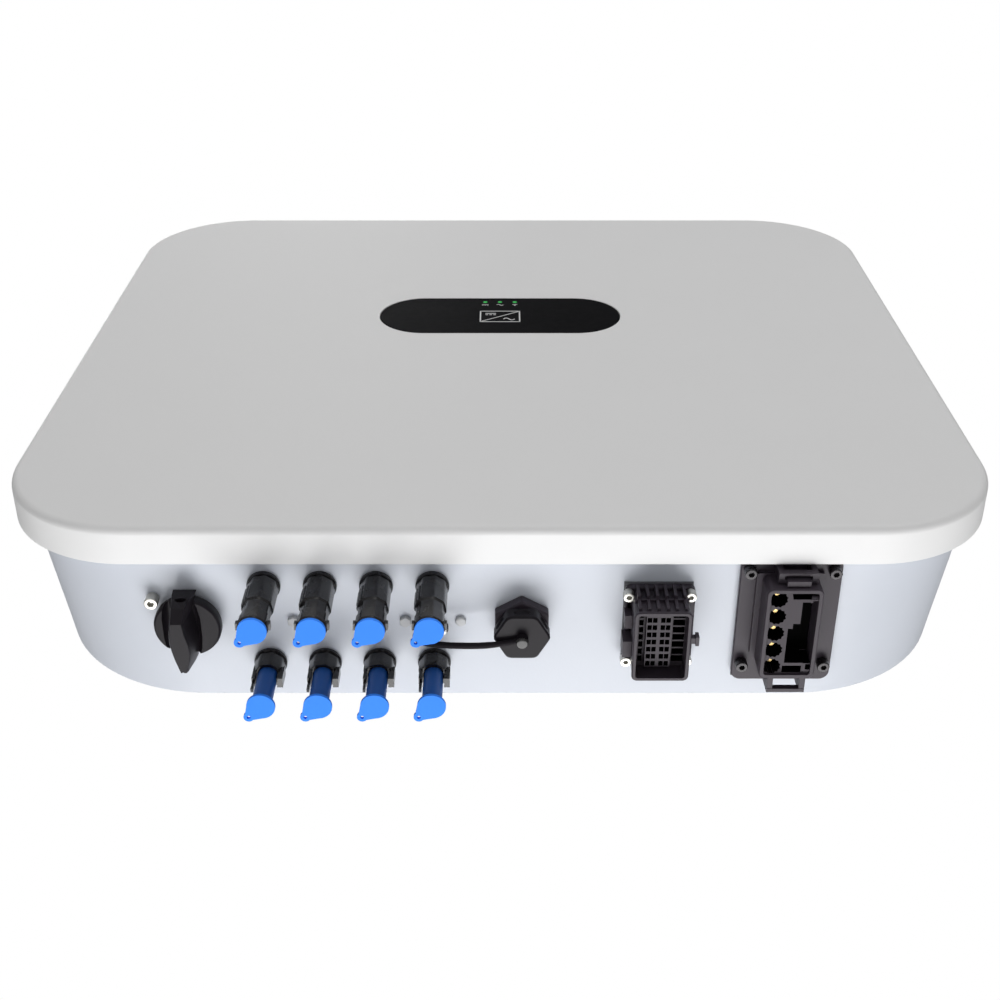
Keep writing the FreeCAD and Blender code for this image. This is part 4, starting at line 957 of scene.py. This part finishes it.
class BuildSignalPort(bpy.types.Operator):
    """Build the communication port: flange, ribbed shroud, contact block and screws"""

    bl_idname = "inverter.signal_port"
    bl_label = "Communication port"

    def execute(self, context):
        size = millimetres(context.scene.inverter_ports)
        x, back = size.com_x + 0.3, 62
        wide, deep, drop = size.com_width, size.com_depth, size.com_drop
        foot = (size.com_x + 0.8, 63.6)
        shell = Solid()
        shell.tower(foot, [(36.2, 48.8, 3.4, 1.05), (36.2, 48.8, 3.4, 4.6), (35.4, 48, 3, 5)])
        shell.tower((x, back), [(wide - 0.8, deep - 0.8, 2.6, 3), (wide - 0.8, deep - 0.8, 2.6, 23.4),
                                (wide, deep, 3, 24), (wide, deep, 3, drop - 0.5),
                                (wide - 0.9, deep - 0.9, 2.6, drop)])
        for step in range(-2, 4):
            at = x - 2.4 + step * 4.7
            shell.block((at - 0.8, at + 0.8), (back - deep / 2 - 3.4, back - deep / 2 + 2), (4, 15))
            shell.block((at - 0.8, at + 0.8), (back - deep / 2 - 1.4, back - deep / 2 + 2), (14, 23.6))
        shell.block((x - 14, x + 14), (back - deep / 2 - 1.2, back - deep / 2 + 1), (14.2, 15.6))
        shell.block((63.8, 68.4), (66, 76), (4, 15))
        shell.block((64.6, 68.4), (52, 60), (4, 12))
        shell.block((x + wide / 2 - 1, x + wide / 2 + 3.4), (57.6, 61), (20.4, 24))
        shell.block((x + wide / 2 + 2.6, x + wide / 2 + 4.4), (56.6, 62), (19.8, 24.6))
        hollow = Solid()
        hollow.tower((x, back), [(wide - 3.8, deep - 3.8, 1.6, level) for level in (4.5, drop + 4)])
        piece("com_shell", shell, ["plum_plastic"], instead=["com_housing"], edge=0.25, cutter=hollow)
        port_screws("com_cap_screws", "steel", "com_screws", (size.com_x - 16, size.com_x + 16), (42.5, 83.5),
                    (3.0, 5.0, 9.6, 1.5))
        self.contacts(x, back, wide, deep)
        return {"FINISHED"}

    def contacts(self, x, back, wide, deep):
        """The contact block: two columns of paired cells, a half column and a comb."""
        block, cells = Solid(), Solid()
        low = (x - wide / 2 + 2.0, x + wide / 2 - 2.0)
        sides = (back - deep / 2 + 2.0, back + deep / 2 - 2.0)
        block.block(low, sides, (2, 15))
        block.block((75, 88.2), (back - 19, back + 16.6), (14, 19.6))
        face = 19.6
        for row in range(8):
            middle = 44.9 + row * 4.52
            for column in (75.5, 82.3):
                for cell in (0, 2.7):
                    edges = (column + cell, column + cell + 2.3)
                    cells.block(edges, (middle - 1.5, middle + 1.5), (face - 9, face + 2))
            cells.block((71.8, 74), (middle - 1.7, middle + 1.7), (6, 17))
            cells.block((89.3, 95.4), (middle - 1.8, middle + 1.8), (5, 17))
        # the carved cells take the second slot: painted shade inside the recesses
        piece("com_carrier", block, ["contact_plastic", "cavity_black"], instead=["com_contact_block"],
              edge=0,
              cutter=cells.painted(1))


class BuildGridPort(bpy.types.Operator):
    """Build the grid port: flange, tall shroud, catches, contact block and screws"""

    bl_idname = "inverter.grid_port"
    bl_label = "Grid port"

    def execute(self, context):
        size = millimetres(context.scene.inverter_ports)
        x, back = size.grid_x - 0.7, 57.7
        wide, deep, drop = size.grid_width, size.grid_depth, size.grid_drop
        shell = Solid()
        shell.tower((size.grid_x, 60.6), [(52.4, 76, 5, 1.05), (52.4, 76, 5, 3.6), (51.6, 75.2, 4.6, 4)])
        foot = [(x - 17.4, 29.4), (x + 17.4, 29.4), (x + 17.4, 82), (x + 13.6, 86.4), (x - 13.6, 86.4),
                (x - 17.4, 80)]
        shell.stacked([(blunted(foot, 1.2), 3), (blunted(foot, 1.2), 6.5)])
        shell.tower((x, back), [(wide, deep, 3.4, 3), (wide, deep, 3.4, drop - 0.6),
                                (wide - 1, deep - 1, 3, drop)])
        for low, high in ((23.4, 29.3), (87.5, 98.1)):
            shell.pair(CATCH_X, 7, 10, (low, high), (2, 15.8))
            for rung in ((low, low + 1.6), (high - 2.2, high)):
                shell.block((CATCH_X - 10, CATCH_X + 10), rung, (12.4, 16))
        shell.block((CATCH_X - 8, CATCH_X + 8), (84, 88.6), (3, 13))
        shell.block((CATCH_X - 6, CATCH_X + 6), (26.4, 29.4), (3, 19))
        hollow = Solid()
        hollow.tower((x, back), [(wide - 4.6, deep - 4.6, 1.6, level) for level in (4.2, drop + 4)])
        piece("ac_shell", shell, ["plum_plastic"], instead=["ac_housing"], edge=0.28, cutter=hollow)
        port_screws("ac_cap_screws", "black_steel", "ac_screws", (size.grid_x - 21.65, size.grid_x + 21.65),
                    (28.5, 87.1), (3.3, 4.0, 9.4, 1.7))
        self.contacts(x, back, wide, deep)
        return {"FINISHED"}

    def contacts(self, x, back, wide, deep):
        """The contact block: five toothed sockets, a stepped cavity, two slots and two square posts."""
        block, rooms = Solid(), Solid()
        face = 19.4
        sides = (x - wide / 2 + 2.4, x + wide / 2 - 2.4)
        ends = (back - deep / 2 + 2.4, back + deep / 2 - 2.4)
        block.block(sides, ends, (2, face))
        for step in range(-2, 3):
            outline = toothed(4.2, 4.85, 12, (x - 7.9, back + step * 10.4))
            rooms.stacked([(outline, 6), (outline, face + 2)])
        cavity = ((4.4, 38.6), (12.6, 38.6), (12.6, 76.4), (-1.6, 76.4), (-1.6, 54.8), (0.8, 54.8),
                  (0.8, 51.8),
                  (4.4, 51.8))
        front_slot = ((-1.6, 31.6), (12.6, 31.6), (12.6, 34.4), (8.6, 34.4), (8.6, 36.8), (-0.6, 36.8))
        rear_slot = ((-2.4, 78.2), (7.6, 78.2), (7.6, 82.4), (-2.4, 82.4))
        for outline, top in ((cavity, 8), (front_slot, 9), (rear_slot, 9)):
            corners = [(x + across, at_back) for across, at_back in outline]
            rooms.stacked([(corners, top), (corners, face + 2)])
        posts = Solid()
        for middle in (39.2, 78.6):
            block.block((x + 8.4, x + 12.9), (middle - 2.6, middle + 2.6), (8, face + 0.4))
            posts.block((x + 9.5, x + 12.1), (middle - 1.7, middle + 1.7), (12, face + 2))
        # the carved rooms and the holes in the posts take the second slot: painted shade inside the recesses
        slots = ["contact_plastic", "cavity_black"]
        obj = piece("ac_carrier", block, slots, instead=["ac_contact_block"], edge=0, cutter=rooms.painted(1))
        carve(obj, posts.painted(1), slots)
        pins = Solid()
        for step in range(-2, 3):
            pins.turned((x - 7.9, back + step * 10.4), [(1.6, -18), (1.6, 13), (1.2, 13.8)], 20)
        piece("ac_pins", pins, ["contact_brass"], instead=["ac_contacts"], edge=0)


class BuildFasteners(bpy.types.Operator):
    """Build the earth screw, the small screws of the underside and the strap's stud"""

    bl_idname = "inverter.fasteners"
    bl_label = "Fasteners"

    def execute(self, context):
        earth, keys = Solid(), Solid()
        socket_screw(earth, keys, EARTH_SCREW, 3.6, 0.3, 6.5, 2.0)
        piece("earth_screw", earth, ["steel"], instead=["ground_screw"], edge=0, cutter=keys)
        heads = Solid()
        for at in HEXAGON_HEADS:
            heads.hexagons(at, 30, [(3.4, 0.5, 0.05), (3.4, 0.5, 1.9), (3.0, 0.9, 2.4)])
            heads.turned(at, [(2, -10), (2, 0.2)], 20)
        heads.turned(ROUND_HEAD, [(2.8, 0.05), (2.9, 1.2), (2.5, 1.9), (1.6, 2.3)], 32)
        heads.turned(ROUND_HEAD, [(2, -10), (2, 0.2)], 20)
        piece("small_heads", heads, ["screw_grey"], instead=["underside_screws"], edge=0)
        stud = Solid()
        stud.turned(STRAP_STUD, [(1.5, -3), (1.5, 3.8), (2.8, 3.9), (2.8, 5.2), (2.3, 5.7)], 32)
        piece("strap_stud", stud, ["steel"], instead=["strap_screw"], edge=0)
        return {"FINISHED"}


class BuildStage(bpy.types.Operator):
    """Set up the pale floor, the lights, the surroundings and the camera"""

    bl_idname = "inverter.stage"
    bl_label = "Stage"

    def execute(self, context):
        scene = context.scene
        stage = scene.inverter_stage
        # the floor: half its width, its top and its underside, in millimetres
        half, top, underside = 6000, -1350, -1400
        finish("floor_pale", (0.82, 0.82, 0.82), rough=0.8, grain=4, relief=0.02, tone=0.02)
        floor = Solid()
        square = [(-half, -half), (half, -half), (half, half), (-half, half)]
        floor.skin([[(x, y, z) for x, y in square] for z in (underside, top)])
        ground = floor.finished("floor")
        ground.data.materials.append(bpy.data.materials["floor_pale"])
        middle = Vector((0, -0.14, -0.05))
        # name, place in metres, width in metres, power
        lamps = (("key", (0.05, 0.45, -1.3), 1.5, stage.key), ("fill", (0.3, -2.6, 0.5), 2.2, stage.fill),
                 ("top", (-0.6, 0.2, 2.2), 1.6, stage.top))
        for name, at, width, power in lamps:
            data = bpy.data.lights.new(name, "AREA")
            data.size = width
            data.energy = power
            lamp = bpy.data.objects.new(name, data)
            lamp.location = at
            lamp.rotation_euler = (Vector(at) - middle).to_track_quat("Z", "Y").to_euler()
            lamp.visible_camera = False
            scene.collection.objects.link(lamp)
        self.surroundings(scene)
        camera = bpy.data.objects.new("camera", bpy.data.cameras.new("camera"))
        camera.location = (0, stage.camera_y, stage.camera_z)
        camera.rotation_euler = (stage.tilt, 0, 0)
        camera.data.lens = stage.lens
        scene.collection.objects.link(camera)
        scene.camera = camera
        scene.view_settings.view_transform = "Standard"
        return {"FINISHED"}

    @staticmethod
    def surroundings(scene):
        """Plain white behind the object; a dimmer sky, paler below, for its light."""
        scene.world = bpy.data.worlds.new("surroundings")
        graph = Graph(scene.world)
        seen = graph.node("ShaderNodeLightPath")
        away = graph.node("ShaderNodeTexCoord")
        parts = graph.node("ShaderNodeSeparateXYZ", None, {0: away}, output=2)
        low = 1 - parts.step(-0.7, 0.5)
        strength = 0.26 + low * 0.36
        strength = strength + seen * (1 - strength)
        backdrop = graph.node("ShaderNodeBackground", None, {"Color": (1, 1, 1, 1), "Strength": strength})
        graph.node("ShaderNodeOutputWorld", None, {"Surface": backdrop})


class InverterPanel(bpy.types.Panel):
    """Lists the steps that build the inverter"""

    bl_idname = "VIEW3D_PT_inverter"
    bl_label = "String Inverter"
    bl_space_type = "VIEW_3D"
    bl_region_type = "UI"
    bl_category = "Inverter"

    def draw(self, context):
        for operator in OPERATORS:
            self.layout.operator(operator.bl_idname, text=operator.bl_label)


SETTINGS = {
    "inverter_finishes": InverterFinishes,
    "inverter_cover": InverterCover,
    "inverter_window": InverterWindow,
    "inverter_switch": InverterSwitch,
    "inverter_sockets": InverterSockets,
    "inverter_dongle": InverterDongle,
    "inverter_ports": InverterPorts,
    "inverter_stage": InverterStage,
}
OPERATORS = (PaintInverter, BuildCover, BuildWindow, BuildSwitch, BuildSockets, BuildPlugs, BuildDongle,
             BuildSignalPort, BuildGridPort, BuildFasteners, BuildStage)


def register():
    for group in SETTINGS.values():
        bpy.utils.register_class(group)
    for name, group in SETTINGS.items():
        setattr(bpy.types.Scene, name, bpy.props.PointerProperty(type=group))
    for operator in OPERATORS:
        bpy.utils.register_class(operator)
    bpy.utils.register_class(InverterPanel)


def unregister():
    bpy.utils.unregister_class(InverterPanel)
    for operator in reversed(OPERATORS):
        bpy.utils.unregister_class(operator)
    for name in SETTINGS:
        delattr(bpy.types.Scene, name)
    for group in reversed(SETTINGS.values()):
        bpy.utils.unregister_class(group)


def main():
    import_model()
    register()
    for operator in OPERATORS:
        group, step = operator.bl_idname.split(".")
        getattr(getattr(bpy.ops, group), step)()


if __name__ == "__main__":
    main()
